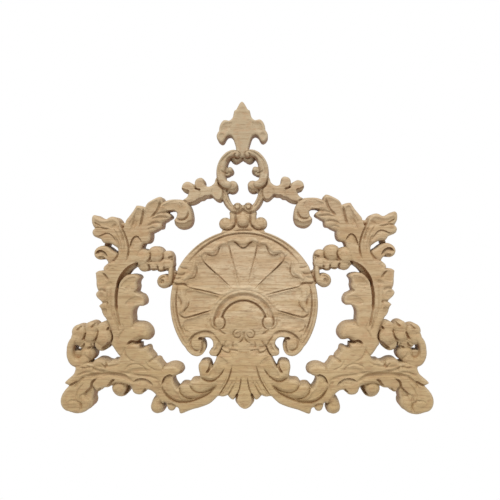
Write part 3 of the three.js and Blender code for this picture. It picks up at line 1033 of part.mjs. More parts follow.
// One closed body: carved front, flat back and the cut walls, the left half mirrored from the right.
function carvedGeometry() {
  const smallestArea = 12;
  const loops = traceLoops().filter((loop) => Math.abs(area(loop)) > smallestArea)
    .map(thinnedLoop).map(withAxisStops);
  buildNet(loops);
  const { heights, flat, net } = refineNet(loops);
  const reach = Math.max(...px.slice(3));
  const scale = overallWidth / (2 * reach);
  const top = Math.max(...heights);
  const positions = [];
  const faces = [];
  const known = new Map();
  const vertex = (p, front, side) => {
    const onAxis = px[p] < tiny;
    const key = `${p},${front},${onAxis ? 1 : side}`;
    if (!known.has(key)) {
      const x = onAxis ? 0 : side * px[p] * scale;
      const y = front ? (-heights[p] * overallDepth) / top : 0;
      known.set(key, positions.length / 3);
      positions.push(x, y, pz[p] * scale);
    }
    return known.get(key);
  };
  const addFace = (side, list) => {
    const [a, b, c] = list.map(([p, front]) => vertex(p, front, side));
    faces.push(...(side > 0 ? [a, b, c] : [a, c, b]));
  };
  const border = new Map();
  flat.forEach(([a, b, c]) => {
    [[a, b], [b, c], [c, a]].forEach(([u, v]) => {
      const key = edgeKey(u, v);
      if (border.has(key)) border.delete(key);
      else border.set(key, [u, v]);
    });
  });
  [1, -1].forEach((side) => {
    net.forEach(([a, b, c]) => addFace(side, [[a, true], [b, true], [c, true]]));
    flat.forEach(([a, b, c]) => addFace(side, [[a, false], [c, false], [b, false]]));
    border.forEach(([a, b]) => {
      if (px[a] < tiny && px[b] < tiny) return;
      addFace(side, [[b, true], [a, true], [a, false]]);
      addFace(side, [[b, true], [a, false], [b, false]]);
    });
  });
  const geometry = new THREE.BufferGeometry();
  geometry.setAttribute("position", new THREE.Float32BufferAttribute(positions, 3));
  geometry.setIndex(faces);
  geometry.computeVertexNormals();
  return geometry;
}

const wood = new THREE.MeshStandardMaterial({ color: 0xbfa483, roughness: 0.72, metalness: 0 });
wood.name = "wood";

const ornament = new THREE.Mesh(carvedGeometry(), wood);
ornament.name = "carved_ornament";

const model = new THREE.Group();
model.name = "carved_wood_ornament";
model.add(ornament);

export default model;
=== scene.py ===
import math

import bmesh
import bpy
import numpy as np
from mathutils import Matrix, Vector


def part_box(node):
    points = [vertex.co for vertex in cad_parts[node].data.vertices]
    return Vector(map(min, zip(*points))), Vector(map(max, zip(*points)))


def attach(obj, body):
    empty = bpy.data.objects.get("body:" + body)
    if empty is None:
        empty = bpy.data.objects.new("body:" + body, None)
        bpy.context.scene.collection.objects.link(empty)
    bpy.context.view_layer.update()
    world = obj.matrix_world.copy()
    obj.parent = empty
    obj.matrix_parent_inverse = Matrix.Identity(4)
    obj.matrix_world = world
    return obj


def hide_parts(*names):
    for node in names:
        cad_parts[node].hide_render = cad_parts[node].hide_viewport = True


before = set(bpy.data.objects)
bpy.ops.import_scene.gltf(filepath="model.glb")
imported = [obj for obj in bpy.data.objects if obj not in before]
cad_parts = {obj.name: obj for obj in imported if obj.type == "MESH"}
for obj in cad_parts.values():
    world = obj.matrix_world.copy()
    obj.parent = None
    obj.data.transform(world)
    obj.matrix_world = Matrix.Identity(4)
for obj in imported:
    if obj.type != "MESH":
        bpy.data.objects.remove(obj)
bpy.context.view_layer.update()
node_low, node_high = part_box("carved_ornament")

# The carving is drawn on its right half, in drawing millimetres from the centre of the disc.
# X runs outward from the axis, Z runs up, and heights are measured from the flat back.
SHEET_RIGHT = 244
SHEET_BOTTOM = -146
SHEET_TOP = 268
STEP = 0.6
RIM_TOLERANCE = 0.12
OPEN_AIR = -1000.0
OUTLINE_REACH = 2

# Smooth runs are cut into pieces of about this length, and at most this many between two points.
PIECE_LENGTH = 1.6
MOST_PIECES = 8
TINY = 1e-9

# How fast grooves and overlaps come in from their ends, and how an overlap's ground climbs back.
GROOVE_ONSET = 5
LIP_ONSET = 6
LIP_CLIMB = 1.5

# Heights of the carved layers above the back.
LOW = 7
BASE = 14
BODY = 16.5
FIELD = 15

# The finished mesh and the marks that the hand leaves on it. Spacings and depths are in drawing
# millimetres, the angle is in degrees, and the margins are shares of a grid step.
FRONT_TRIANGLES = 168000
WAVE_SPACING = 9
WAVE_DEPTH = 0.16
WAVE_SEED = 3
SCRAPE_SPACING = 3.2
SCRAPE_DEPTH = 0.06
SCRAPE_STRETCH = 0.6
SCRAPE_SEED = 5
SHARP_ANGLE = 48
LATTICE = 256
RIM_MARGIN = 0.06
INSIDE_CELL = 0.001

# Thin lines that are carved here alone.
RAY_WIDTH = 0.9
RAY_DEPTH = 0.75
VEIN_WIDTH = 1.3
VEIN_DEPTH = 0.85

# How far the carving stays inside the box of the solid, and what counts as its back, in metres.
BOX_MARGIN = 0.0001
BACK_TOLERANCE = 0.0002

# How far around a point its surroundings are averaged, and the depth below them that counts as full
# painted shade, in grooves and then in recesses, and the painted shade that the flat back is given.
GROOVE_SHADE_REACH = 1.8
GROOVE_SHADE_DEPTH = 2.2
RECESS_SHADE_REACH = 7
RECESS_SHADE_DEPTH = 7
BACK_SHADE = 0.35

# Wood tones as sRGB values.
WOOD_PALE = (168, 149, 118)
WOOD_WARM = (156, 131, 95)
WOOD_PINK = (160, 134, 105)
# Yellower wood, also brightened as painted light on the lower part of the piece.
WOOD_YELLOW_AND_PAINTED_LIGHT = (165, 141, 94)
WOOD_GREY = (152, 141, 121)
WOOD_BLEACHED = (180, 162, 134)
WOOD_OUTER = (150, 128, 93)
WOOD_MOTTLE = (150, 114, 82)
WOOD_STREAK = (124, 97, 66)
WOOD_PORE = (101, 76, 51)
# Paler where ridges stand above their surroundings.
WOOD_RIDGE_PALE = (173, 160, 135)
# Painted shade in recesses.
WOOD_SHADE = (130, 95, 57)
# Painted shade in grooves.
WOOD_GROOVE_SHADE = (122, 76, 39)
# Painted shade on walls and undersides, strongest where they face down.
WOOD_UNDERSIDE_SHADE = (126, 85, 51)

# The glued boards: the heights they span in metres, where they start as shares of that, and the
# grey that sets each one's grain apart.
BOARDS_FROM = -0.15
BOARDS_TO = 0.27
BOARD_STARTS = (0, 0.138, 0.226, 0.417, 0.74)
BOARD_GREYS = (0.25, 0.6, 0.4, 0.85, 0.7)

# Middle of the paler wood, in the frame's metres.
PALE_SPOT = (0.03, 0, 0.035)

# The photograph's view, in pixels of the photograph that each cover PIXEL metres of the carving.
FOCAL_PIXELS = 520
IMAGE_PIXELS = 500
PIXEL = 0.0013
SHIFT_RIGHT = -6.01
SHIFT_UP = -54.16
DATUM = -0.013
SENSOR = 36
YAW = math.radians(-2.25)
ROLL = math.radians(0.55)

# Stage, in metres and watts.
FLOOR_LEVEL = -1.6
FLOOR_SIZE = 5
FLOOR_TONE = (236, 234, 230)
WORLD_STRENGTH = 1.0
KEY_POWER = 61
FILL_POWER = 2


def smooth_run(points, closed):
    """Smooth run through given points. A third value of 1 makes a corner."""
    run = []
    count = len(points)
    spans = count if closed else count - 1
    is_corner = [len(p) > 2 and p[2] == 1 for p in points]
    place = np.array([p[:2] for p in points], dtype=float)
    for i in range(spans):
        j = (i + 1) % count
        open_start = (not closed and i == 0) or is_corner[i]
        open_end = (not closed and i + 2 > count - 1) or is_corner[j]
        p1 = place[i]
        p2 = place[j]
        p0 = p1 if open_start else place[i - 1]
        p3 = p2 if open_end else place[(i + 2) % count]
        chord = math.dist(p1, p2)
        during = math.sqrt(max(chord, TINY))
        before = math.sqrt(math.dist(p0, p1)) or 1
        after = math.sqrt(math.dist(p2, p3)) or 1
        step = p2 - p1
        m1 = step
        m2 = step
        if not open_start:
            m1 = step + during * ((p1 - p0) / before - (p2 - p0) / (before + during))
        if not open_end:
            m2 = step + during * ((p3 - p2) / after - (p3 - p1) / (during + after))
        steps = max(1, min(MOST_PIECES, round(chord / PIECE_LENGTH)))
        t = (np.arange(steps) / steps)[:, None]
        run.append((2 * t**3 - 3 * t**2 + 1) * p1 + (t**3 - 2 * t**2 + t) * m1
                   + (3 * t**2 - 2 * t**3) * p2 + (t**3 - t**2) * m2)
    if not closed:
        run.append(place[-1:])
    return np.concatenate(run)


def nearest(run, closed, x, z):
    """Distance, side (1 on the left), share of the way along and inside or not, for every point."""
    best = np.full(len(x), np.inf)
    left = np.ones(len(x), dtype=bool)
    along = np.zeros(len(x))
    inside = np.zeros(len(x), dtype=bool)
    ends = np.roll(run, -1, axis=0) if closed else run[1:]
    spans = len(ends)
    for i in range(spans):
        ax, az = run[i]
        ux, uz = ends[i] - run[i]
        wx = x - ax
        wz = z - az
        t = np.clip((wx * ux + wz * uz) / (ux * ux + uz * uz or 1), 0, 1)
        gap = (wx - t * ux) ** 2 + (wz - t * uz) ** 2
        closer = gap < best
        best[closer] = gap[closer]
        left[closer] = (ux * wz - uz * wx)[closer] >= 0
        along[closer] = (i + t[closer]) / spans
        if closed and uz != 0:
            inside ^= ((az > z) != (az + uz > z)) & (wx < ux * wz / uz)
    return np.sqrt(best), left, along, inside


def dome(distance, edge):
    """Cross-section of a rounded edge: rises over the given run-in, then stays flat."""
    t = np.clip(distance / edge, 0, 1)
    return np.sqrt(t * (2 - t))


class Sheet:
    """The points that are being carved, with the height and the depth inside the outline at each."""

    def __init__(self, x, z, tolerance):
        self.x = x
        self.z = z
        self.tolerance = tolerance
        self.height = np.zeros(len(x))
        self.within = np.full(len(x), OPEN_AIR)

    def near(self, run, margin):
        """Numbers of the points in the box around a run."""
        low = run.min(axis=0) - margin
        high = run.max(axis=0) + margin
        inside = (self.x >= low[0]) & (self.x <= high[0]) & (self.z >= low[1]) & (self.z <= high[1])
        return np.nonzero(inside)[0]

    def lay(self, at, depth_inside, level, rise, edge, over):
        """Lays material down where the points lie inside its outline."""
        held = depth_inside > -self.tolerance
        z = level + rise * dome(depth_inside, edge)
        covered = (self.within[at] > 0) & (not over)
        taller = np.where(covered, np.maximum(self.height[at], z), z)
        self.height[at[held]] = taller[held]
        self.within[at] = np.maximum(self.within[at], depth_inside)

    def patch(self, points, level, rise, edge, over=False):
        """A shape with a closed outline and a rounded edge."""
        run = smooth_run(points, True)
        at = self.near(run, OUTLINE_REACH)
        distance, _, _, inside = nearest(run, True, self.x[at], self.z[at])
        self.lay(at, np.where(inside, distance, -distance), level, rise, edge, over)

    def ball(self, x, z, radius, level, rise, over=False):
        """A round berry or knob."""
        at = self.near(np.array([[x - radius, z - radius], [x + radius, z + radius]]), OUTLINE_REACH)
        depth_inside = radius - np.hypot(self.x[at] - x, self.z[at] - z)
        self.lay(at, depth_inside, level, rise, radius, over)

    def ribbon(self, spine, level, rise, edge, over=False):
        """A ribbon along a spine of [x, z, half width] points."""
        run = smooth_run([p[:2] for p in spine], False)
        drawn = np.array(spine, dtype=float)
        widest = drawn[:, 2].max()
        _, _, along, _ = nearest(drawn[:, :2], False, run[:, 0], run[:, 1])
        halves = np.interp(along * (len(spine) - 1), np.arange(len(spine)), drawn[:, 2])
        at = self.near(run, widest + OUTLINE_REACH)
        distance, _, along, _ = nearest(run, False, self.x[at], self.z[at])
        half = np.interp(along * (len(run) - 1), np.arange(len(run)), halves)
        self.lay(at, half - distance, level, rise, edge * half / widest, over)

    def groove(self, points, width, depth, full=False):
        """A cut along a run. It fades out towards both ends unless it is told to keep its depth."""
        run = smooth_run(points, False)
        at = self.near(run, width)
        distance, _, along, _ = nearest(run, False, self.x[at], self.z[at])
        fade = np.ones(len(at)) if full else np.minimum(1, GROOVE_ONSET * np.minimum(along, 1 - along))
        share = np.minimum(1, distance / (width * (0.5 + 0.5 * fade)))
        self.height[at] -= depth * fade * (1 - share**2)

    def lip(self, points, width, depth):
        """An overlap: the ground drops on the left of the run and climbs back over the width."""
        run = smooth_run(points, False)
        at = self.near(run, width)
        distance, left, along, _ = nearest(run, False, self.x[at], self.z[at])
        fade = np.minimum(1, LIP_ONSET * np.minimum(along, 1 - along))
        share = np.minimum(1, distance / width)
        held = left & (along > 0) & (along < 1)
        self.height[at] -= np.where(held, depth * fade * (1 - share) ** LIP_CLIMB, 0)

    def hollow(self, points, depth, edge):
        """A hollow with a closed outline, deepest in its middle."""
        run = smooth_run(points, True)
        at = self.near(run, 0)
        distance, _, _, inside = nearest(run, True, self.x[at], self.z[at])
        self.height[at] -= np.where(inside, depth * dome(distance, edge), 0)


def mirrored(half):
    """Completes a right half drawn from the axis back to the axis."""
    return half + [[-p[0], *p[1:]] for p in reversed(half) if p[0] != 0]


def arc(x, z, start_radius, end_radius, start, end, count):
    """Points along an arc or a spiral, angles in degrees from the X axis."""
    turns = np.radians(np.linspace(start, end, count + 1))
    radii = np.linspace(start_radius, end_radius, count + 1)
    return [[x + r * math.cos(a), z + r * math.sin(a)] for r, a in zip(radii, turns)]


def lay_masses(sheet):
    """Main masses of the carving, from the finial down to the berries."""
    patch = sheet.patch
    ball = sheet.ball
    ribbon = sheet.ribbon
    # Finial.
    patch(mirrored([[0, 262.4], [2.6, 260.4], [5.4, 255.6], [7.6, 252], [10, 250.6, 1], [11, 246.6],
        [12, 242.4], [14.2, 239.4], [17.4, 238], [20.6, 238.8], [23.4, 238.8], [26.2, 236.6], [28.6, 232.6],
        [29.8, 228], [29.9, 225.2, 1], [31.8, 222.4], [33.2, 218.6], [32.4, 214.2], [30, 211], [27, 209.4],
        [24.4, 210.4], [22.4, 213.6], [20.4, 217], [17.2, 218.9], [14, 218], [11.8, 214.6], [10.2, 209.6],
        [8.6, 204.6], [8, 199, 1], [8, 190, 1], [0, 190]]), BASE, 2.2, 2.8)

    # Neck.
    patch(mirrored([[0, 122], [4, 121.6], [10, 120.6], [17.6, 119.8], [17, 115], [18, 108], [24, 101],
        [27.2, 96, 1], [30, 90, 1], [0, 88]]), BASE, 2, 5)

    # Sprig.
    patch([[30, 152], [34, 164], [35.2, 159], [38.2, 155.2], [42.2, 152.9], [46.2, 153], [49.2, 155.8],
        [50.1, 158.4], [49.6, 160.8], [51.2, 163.2], [54.4, 164.3], [58.2, 163.2], [60.7, 160.8],
        [61.9, 156.8], [63, 155.8, 1], [65.6, 157.3], [69.4, 159], [72.8, 159.2], [76, 157.5], [78, 154.4],
        [79, 151.2], [78, 148], [75.8, 145.8], [72.8, 145.2], [70.8, 143.8], [71.2, 140.8], [73.6, 138],
        [77, 136], [72, 131], [68.8, 129.8], [64.6, 130.4], [59.8, 132.4], [55.6, 135.4], [51.6, 136],
        [48.2, 138.4], [44, 138.6], [40.8, 139.4, 1], [38.4, 137.4], [35, 134.4], [31, 133], [27.8, 134.2],
        [25.6, 138], [25, 144], [26, 149]], BODY, 3, 3.6)

    # Webs that close the small gaps beside the crest scroll, the disc and the lower berries.
    patch([[18, 145], [24, 145], [24, 152], [19, 150]], BASE, 0, 1)
    patch(mirrored([[0, 128.4], [3, 129], [5, 122], [4, 117], [0, 117]]), BASE, 1, 2)
    patch([[24, 158], [33, 164.6], [36, 153], [30, 146], [22, 147]], BODY, 0, 1)
    patch([[16, 168], [24, 166], [28, 172], [25, 178.4], [17, 176]], BASE, 2, 4)
    patch([[171, -22], [180, -20], [186, -30], [184, -46], [173, -48], [168, -36]], BODY, 0, 1)
    patch([[84, 43], [87.4, 42.6], [92, 44.5], [96, 40], [94, 26], [89, 25], [84, 32]], BASE, 0, 1)

    # Crest scroll.
    patch([[0, 192], [0, 188], [2.5, 186.4], [5, 184.6], [8, 183.2], [11, 183.6], [14, 185.8], [16.4, 189],
        [18, 194], [8, 199]], 6, 8.6, 7)
    patch([[21, 178], [18.6, 176.9], [15.4, 177.8], [12.8, 176.2], [11.6, 173.4], [12.2, 170.6],
        [14.4, 168.6], [17.4, 167.6], [20.6, 167.6], [23, 168.6], [25, 172]], LOW, 7, 5)
    ball(14, 151.6, 7.8, LOW, 11)
    ribbon([[6.8, 194, 5], [11.5, 195.2, 4.7], [17.6, 193.3, 4.6], [21.6, 189.6, 4.8], [24.2, 185.4, 5.4],
        [25.9, 181, 6], [27.2, 176, 6.2], [27.9, 171, 6], [27.9, 165.5, 6], [26.8, 160.4, 6],
        [23.4, 156, 5.6], [18.5, 154.4, 5]], FIELD, 6, 5)

    # Lower scroll of the crest and the neck scrolls.
    ribbon([[26.8, 150, 3.4], [24.4, 144, 4.2], [22.9, 138, 4.5], [20.6, 132.4, 4.6], [17, 127.2, 4.5],
        [12.5, 124, 4.4], [8, 124, 4]], 13, 4, 4)
    ball(6.9, 125.9, 5.9, 13, 4)
    ribbon([[13.4, 120, 3.6], [13.2, 112, 3.7], [13.4, 105, 4], [16.4, 100.4, 4.2], [21, 98.6, 3]], 13, 4,
        3)
    ball(22.8, 104.3, 8.4, 13, 4.5)
    patch(mirrored([[0, 119], [4, 117.6], [6.6, 113.4], [7, 108], [5.6, 103], [3, 100.6], [0, 100]]), 13, 5,
        6)

    # Arm scroll.
    patch([[105, 132], [98, 135.4], [92, 136.6], [84, 136.6], [77, 135.6], [71.6, 132], [68.2, 127],
        [66.4, 121.6], [65.3, 115.6], [65.2, 109.8], [66.6, 104.6], [69.4, 101], [73.4, 98.8], [78, 97.8],
        [82, 98.2], [85.6, 100.4], [88.3, 104], [89.2, 107.6], [88.4, 110.6], [86.4, 113], [85.3, 116.4],
        [85.2, 119.2], [88, 121.4], [93, 122], [97, 121], [102, 118], [110, 121], [110, 129]], BODY, 4.5, 6)

    # Upper leaf with its fingers, running down from the arm scroll.
    patch([[103, 133], [103.6, 137.4], [105.8, 140.2], [109.2, 140], [113.4, 138.4], [118.4, 135.8],
        [122.6, 133.2], [125.2, 130], [126.6, 127, 1], [130.6, 128.6], [135, 129.4], [138, 129.3, 1],
        [140.2, 125.6], [143.6, 120.6], [147.6, 115.6], [151, 111.4], [153, 107.8, 1], [159.2, 107.4, 1],
        [161.6, 111.4], [165, 114.2], [170, 115.5], [174.4, 114.2], [177.6, 112.2], [181.8, 112.6],
        [186.8, 114.6], [190.8, 117], [193.4, 117.8], [195.6, 116.4], [196.6, 112], [196.2, 107],
        [194.6, 103.2], [192.8, 100.4, 1], [194.8, 98.6], [196, 95.6], [195, 91.6], [192.4, 89.2],
        [188.4, 87.6], [184.6, 86, 1], [182.4, 82.4], [180, 80.8], [174.4, 80.6], [170, 79.2],
        [166.4, 76.8], [163, 74], [163, 66], [168, 58], [170, 50], [160, 38], [152.5, 39.6], [147, 45.5],
        [141.5, 50], [136, 58], [133, 68], [131.4, 73], [130, 77.4], [128.6, 79.4], [124.6, 79.8],
        [121, 82.4], [119.6, 86], [119.2, 89.6], [119.4, 93.2, 1], [116.6, 94.4], [113.2, 96],
        [109.8, 98.2], [106, 98.8], [104.8, 100], [104, 103.6], [103.6, 106.4], [100.2, 108.2],
        [97.6, 110.2], [94.2, 112], [92.4, 114], [93.4, 116.6], [96.6, 119.4], [101, 121.4], [104, 126]],
        BODY, 4, 4.5)

    # Curled finger under the upper leaf, with the shallow bridge between them.
    patch([[177, 81.4], [183, 82], [184, 77.4], [178, 76.4]], LOW, 0, 1)
    patch([[168, 70.6], [170.4, 72], [173.4, 74.6], [178, 77.2], [181.8, 77.9], [186.8, 76.9], [191, 74.3],
        [193.4, 70.7], [193.9, 66.6], [192.6, 63.2], [190, 60.8], [185.8, 59.5], [182.4, 60.3],
        [180.6, 61.4, 1], [178.2, 59.8], [176.4, 57.6], [175.4, 55.4], [168, 54], [162, 60], [163, 67]],
        BODY, 3.6, 4)

    # Standing leaf with the large inner lobe.
    patch([[151.5, 40], [146, 40.6], [140.6, 40.2], [136.4, 38.6], [134.2, 35.6], [136.6, 32], [137.6, 28],
        [137, 24], [138.6, 17.2, 1], [135.2, 15], [131.8, 13.6], [129, 10.2], [127.6, 5.8], [128, 1.8],
        [130, -0.8], [134, -0.8], [137.6, -1.2], [141, -4], [143, -8.4], [143.6, -12.6], [143.2, -17.6],
        [143, -24], [142, -36], [141, -48, 1], [150, -56], [160, -66], [166.4, -59.4], [170, -53.8],
        [172.6, -50.2], [171, -42], [173, -30], [178.4, -18.4], [180, -15.8], [182.6, -12.8], [184.2, -9.2],
        [185, -5.8], [186.6, -2.6], [188.4, -0.4, 1], [186, 1.6], [183.8, 3.4, 1], [185, 5.4], [187.6, 7.6],
        [190.8, 10.8], [192.2, 15], [190.8, 17.6], [188.8, 19.2, 1], [190, 21.8], [191.3, 26.6],
        [191.4, 32], [191.8, 38], [192.3, 42.6, 1], [189.2, 44.8], [185, 45.6], [181.4, 45.2, 1], [182, 48],
        [180.9, 50.6], [178.4, 53], [175.4, 55.4, 1], [170, 58], [160, 56], [154, 46]], BODY, 4, 4.5)

    # Inner lobe of the standing leaf, rounded down to the back.
    patch([[150, -17], [142.6, -21.6], [138, -22.2], [133, -22.6], [128, -24.4], [123.8, -28], [121, -32.4],
        [119.9, -37.4], [120.8, -42], [124, -45.8], [128, -46.4], [134, -45.8], [138, -49], [148, -55],
        [160, -48], [162, -28]], LOW, 13.5, 9)

    # Lower foliage: branch, corner bulb, hook, bottom sweep and the pendant plume.
    patch([[86, -90], [82, -84], [90, -78], [104, -79.5, 1], [108.4, -74.4], [110.8, -70.2], [113, -68.9],
        [116.6, -69.2, 1], [117, -66.6], [119.6, -63.2], [122.4, -59.8], [123.2, -55.6], [125, -53.6],
        [129, -53.8], [131.6, -55.4], [134.8, -55.6, 1], [135, -50, 1], [150, -50], [161, -64.6],
        [162.4, -68.6], [166, -70.6], [171, -70.8], [174.6, -73], [178, -72.4], [182.6, -70], [187, -69],
        [191.4, -69.2], [194.8, -71], [197.4, -74.6, 1], [206, -74], [220.4, -79.2], [220, -81.7],
        [220.6, -84.4], [222.4, -88.6], [225.6, -92], [229.4, -95.2], [232.6, -98.2], [234.2, -100.2, 1],
        [233, -101.6], [230.8, -102.6], [228.6, -103.8, 1], [231, -106.4], [234.4, -110.2], [237.6, -115],
        [239.3, -119.2], [240, -123.4], [239.6, -127.6], [237.6, -132.4], [234.2, -135.8], [228.4, -138.3],
        [221.8, -140], [215, -140], [209.4, -138.6], [204.4, -135.6], [201.4, -132], [200, -128],
        [200.8, -124], [203.6, -120.8], [206.6, -118], [207.4, -115.4], [203.4, -111.6], [199.4, -108.2],
        [196.4, -105.6, 1], [195, -107.4], [193.3, -110.2], [190.8, -111.5], [188, -110.6], [185.4, -108],
        [182, -106.4], [178.4, -106.4], [175, -105.2], [172.4, -103.2, 1], [168, -101], [160, -101],
        [153, -102.4], [149.6, -103.3], [147.6, -105], [146, -108.3], [144.7, -111.7], [141.8, -114.4],
        [137.6, -115.5], [133, -115], [130.2, -113], [128.6, -110.4], [125.8, -109.3], [121.8, -110],
        [118.4, -112.2], [115.2, -115.2, 1], [112, -120], [108, -125], [105.6, -126.6], [103.4, -125.4],
        [101.6, -126.2], [100.8, -129.2], [99.9, -131.8], [98.3, -134.8], [95.8, -136.1], [92.6, -136.1],
        [90.2, -134.2], [89, -131.8], [86.4, -132.4], [85.1, -134.8], [84.2, -138.8], [82.6, -140],
        [79.8, -139.5], [73.4, -136.9], [67, -134.5], [59, -132.4], [51, -129.7], [44.6, -126.8],
        [39.8, -122.8], [35, -118, 1], [32.6, -117.3], [29.4, -118], [25.4, -117.7], [22, -116.3, 1],
        [19.8, -118.8], [17.4, -121.2], [14.2, -122], [12.2, -120.4, 1], [12.2, -125], [9.8, -129.2],
        [6.2, -133.2], [3, -134.9], [0, -135.5], [-8, -130], [-8, -60], [0, -52], [26, -52], [31, -58],
        [35.4, -66.4], [37, -71], [39.6, -76.4], [42, -80.4, 1], [43, -76.8], [44.4, -73.4], [47.2, -71.6],
        [51.2, -71.4], [55.2, -72.4], [58, -75], [59.2, -78.6], [59, -82.4], [58, -87.6], [57.4, -92],
        [58.6, -95.6], [62, -96.4], [66, -96.4], [69.4, -98], [71.2, -100.6], [72.4, -102.4, 1],
        [75, -101.6], [79, -101.4], [82.4, -102.6], [84.8, -105.4], [86.4, -107, 1], [88.6, -104.4],
        [91, -100], [91.8, -95.6], [90.6, -92]], BODY, 4, 4.5)
    patch([[104, -79], [99, -76.9], [94.6, -75.7], [89.4, -75.8], [85, -77.4], [81.6, -80], [80, -83.6],
        [79.8, -86.2], [81, -88.8], [84, -90.6], [87.4, -91.4], [92, -90], [98, -90], [108, -90],
        [116, -84], [112, -78]], LOW, 13.5, 9)
    patch([[112, -108], [115.2, -115.2], [117.6, -119.2], [121, -124.2], [122.7, -129.2], [123.3, -134.2],
        [121.9, -138.3], [119.2, -140.5], [115, -141.6], [110.4, -141.5], [107, -140.2], [104.8, -137.4],
        [104.2, -134.4], [105, -131.4], [106.4, -129], [105.6, -126.6], [103, -122], [104, -114]], LOW, 13,
        8)
    patch([[151, -98], [150, -103.6], [156, -106], [168, -106], [173.4, -103.4], [172, -96]], BODY, 0, 1)
    ball(161.8, -108, 11.4, LOW, 13)

    # Disc with its lower volutes, its frill lying over the plume.
    patch(mirrored([[0, 95.8], *arc(0, 0.8, 95.2, 96.6, 86, 72, 4), *arc(0, 0.8, 96.8, 96.6, 68, 29, 9),
        *arc(0, 0.8, 95.3, 95, 24, -33, 15), [76.6, -54.4], [73.6, -59], [70, -62.6], [66.2, -65.2],
        [62, -66.3], [58, -65.8], [54.4, -64], [51.8, -61.2], [50.3, -57.6], [49.9, -53.6], [50.9, -49],
        [52.6, -45.4], [51.4, -42.6], [47, -42], [43.2, -43.4], [40.8, -46.4], [39.9, -50.4], [40.3, -54],
        [42.4, -57.4], [45.2, -60.6], [44.6, -63.4], [42.4, -65.4], [38.6, -66], [35.6, -66.4, 1],
        [31, -60.4], [29.5, -55.5, 1], [26, -59.4], [22, -61.2], [19, -61.8, 1], [18, -57.5, 1], [12, -58],
        [7, -60], [0, -61.4]]), 16.5, 2.5, 2.6, True)

    patch(mirrored([[0, -46], [5, -48], [7.4, -54], [8, -62], [7, -70], [0, -72]]), 19, 0, 1)

    # Upper berries and the scroll that ties them to the rim.
    patch([[92, 66], [104, 68], [128, 72], [140, 66], [141, 52], [130, 47], [112, 47], [98, 46], [92, 50]],
        BASE, 0, 1)
    ball(98.4, 63.6, 6.9, FIELD, 3.6)
    ball(98.5, 52.4, 8.3, FIELD, 4.4)
    ball(107.4, 49.6, 6.8, FIELD, 3.4)
    ball(117, 51, 6.6, FIELD, 3.4)
    ball(128.6, 52, 8.6, FIELD, 4)
    ball(113.6, 65.8, 10.8, FIELD, 5.6)
    ball(131.4, 61.6, 12, FIELD, 6)
    patch([[94, 56], [100, 60], [112, 58], [126, 56], [138, 60], [140, 56], [128, 52], [112, 51], [98, 52]],
        FIELD, 3, 3)
    ribbon([[94.6, 47, 3.6], [94.6, 40, 3.6], [95.4, 34, 3.8], [97, 30, 4.4]], BASE, 5, 4)
    ball(103.4, 30.6, 9.2, BASE, 6)

    # Lower berries with the curl beside them.
    ribbon([[220, -42, 5], [225.6, -50, 5], [227.3, -58, 4.8], [226.6, -66, 5.4], [222, -73, 6.4],
        [214, -74.6, 6.6], [208, -70, 7]], BASE, 6, 5)
    ball(205.6, -63.4, 10.6, 10, 9.5)
    ball(203.6, -50.4, 7.4, FIELD, 3)
    ball(211, -50, 6, FIELD, 2)
    ball(183, -31, 9.4, FIELD, 4)
    ball(199, -29.6, 8.8, FIELD, 4)
    ball(215.6, -34.6, 9.6, FIELD, 4.6)
    ball(185.8, -50, 9.4, FIELD, 3)
    ball(200, -40, 9.6, FIELD, 5)
    ball(216.8, -42.6, 9.6, FIELD, 4.6)
    ball(182.6, -41.6, 12.2, FIELD, 6)


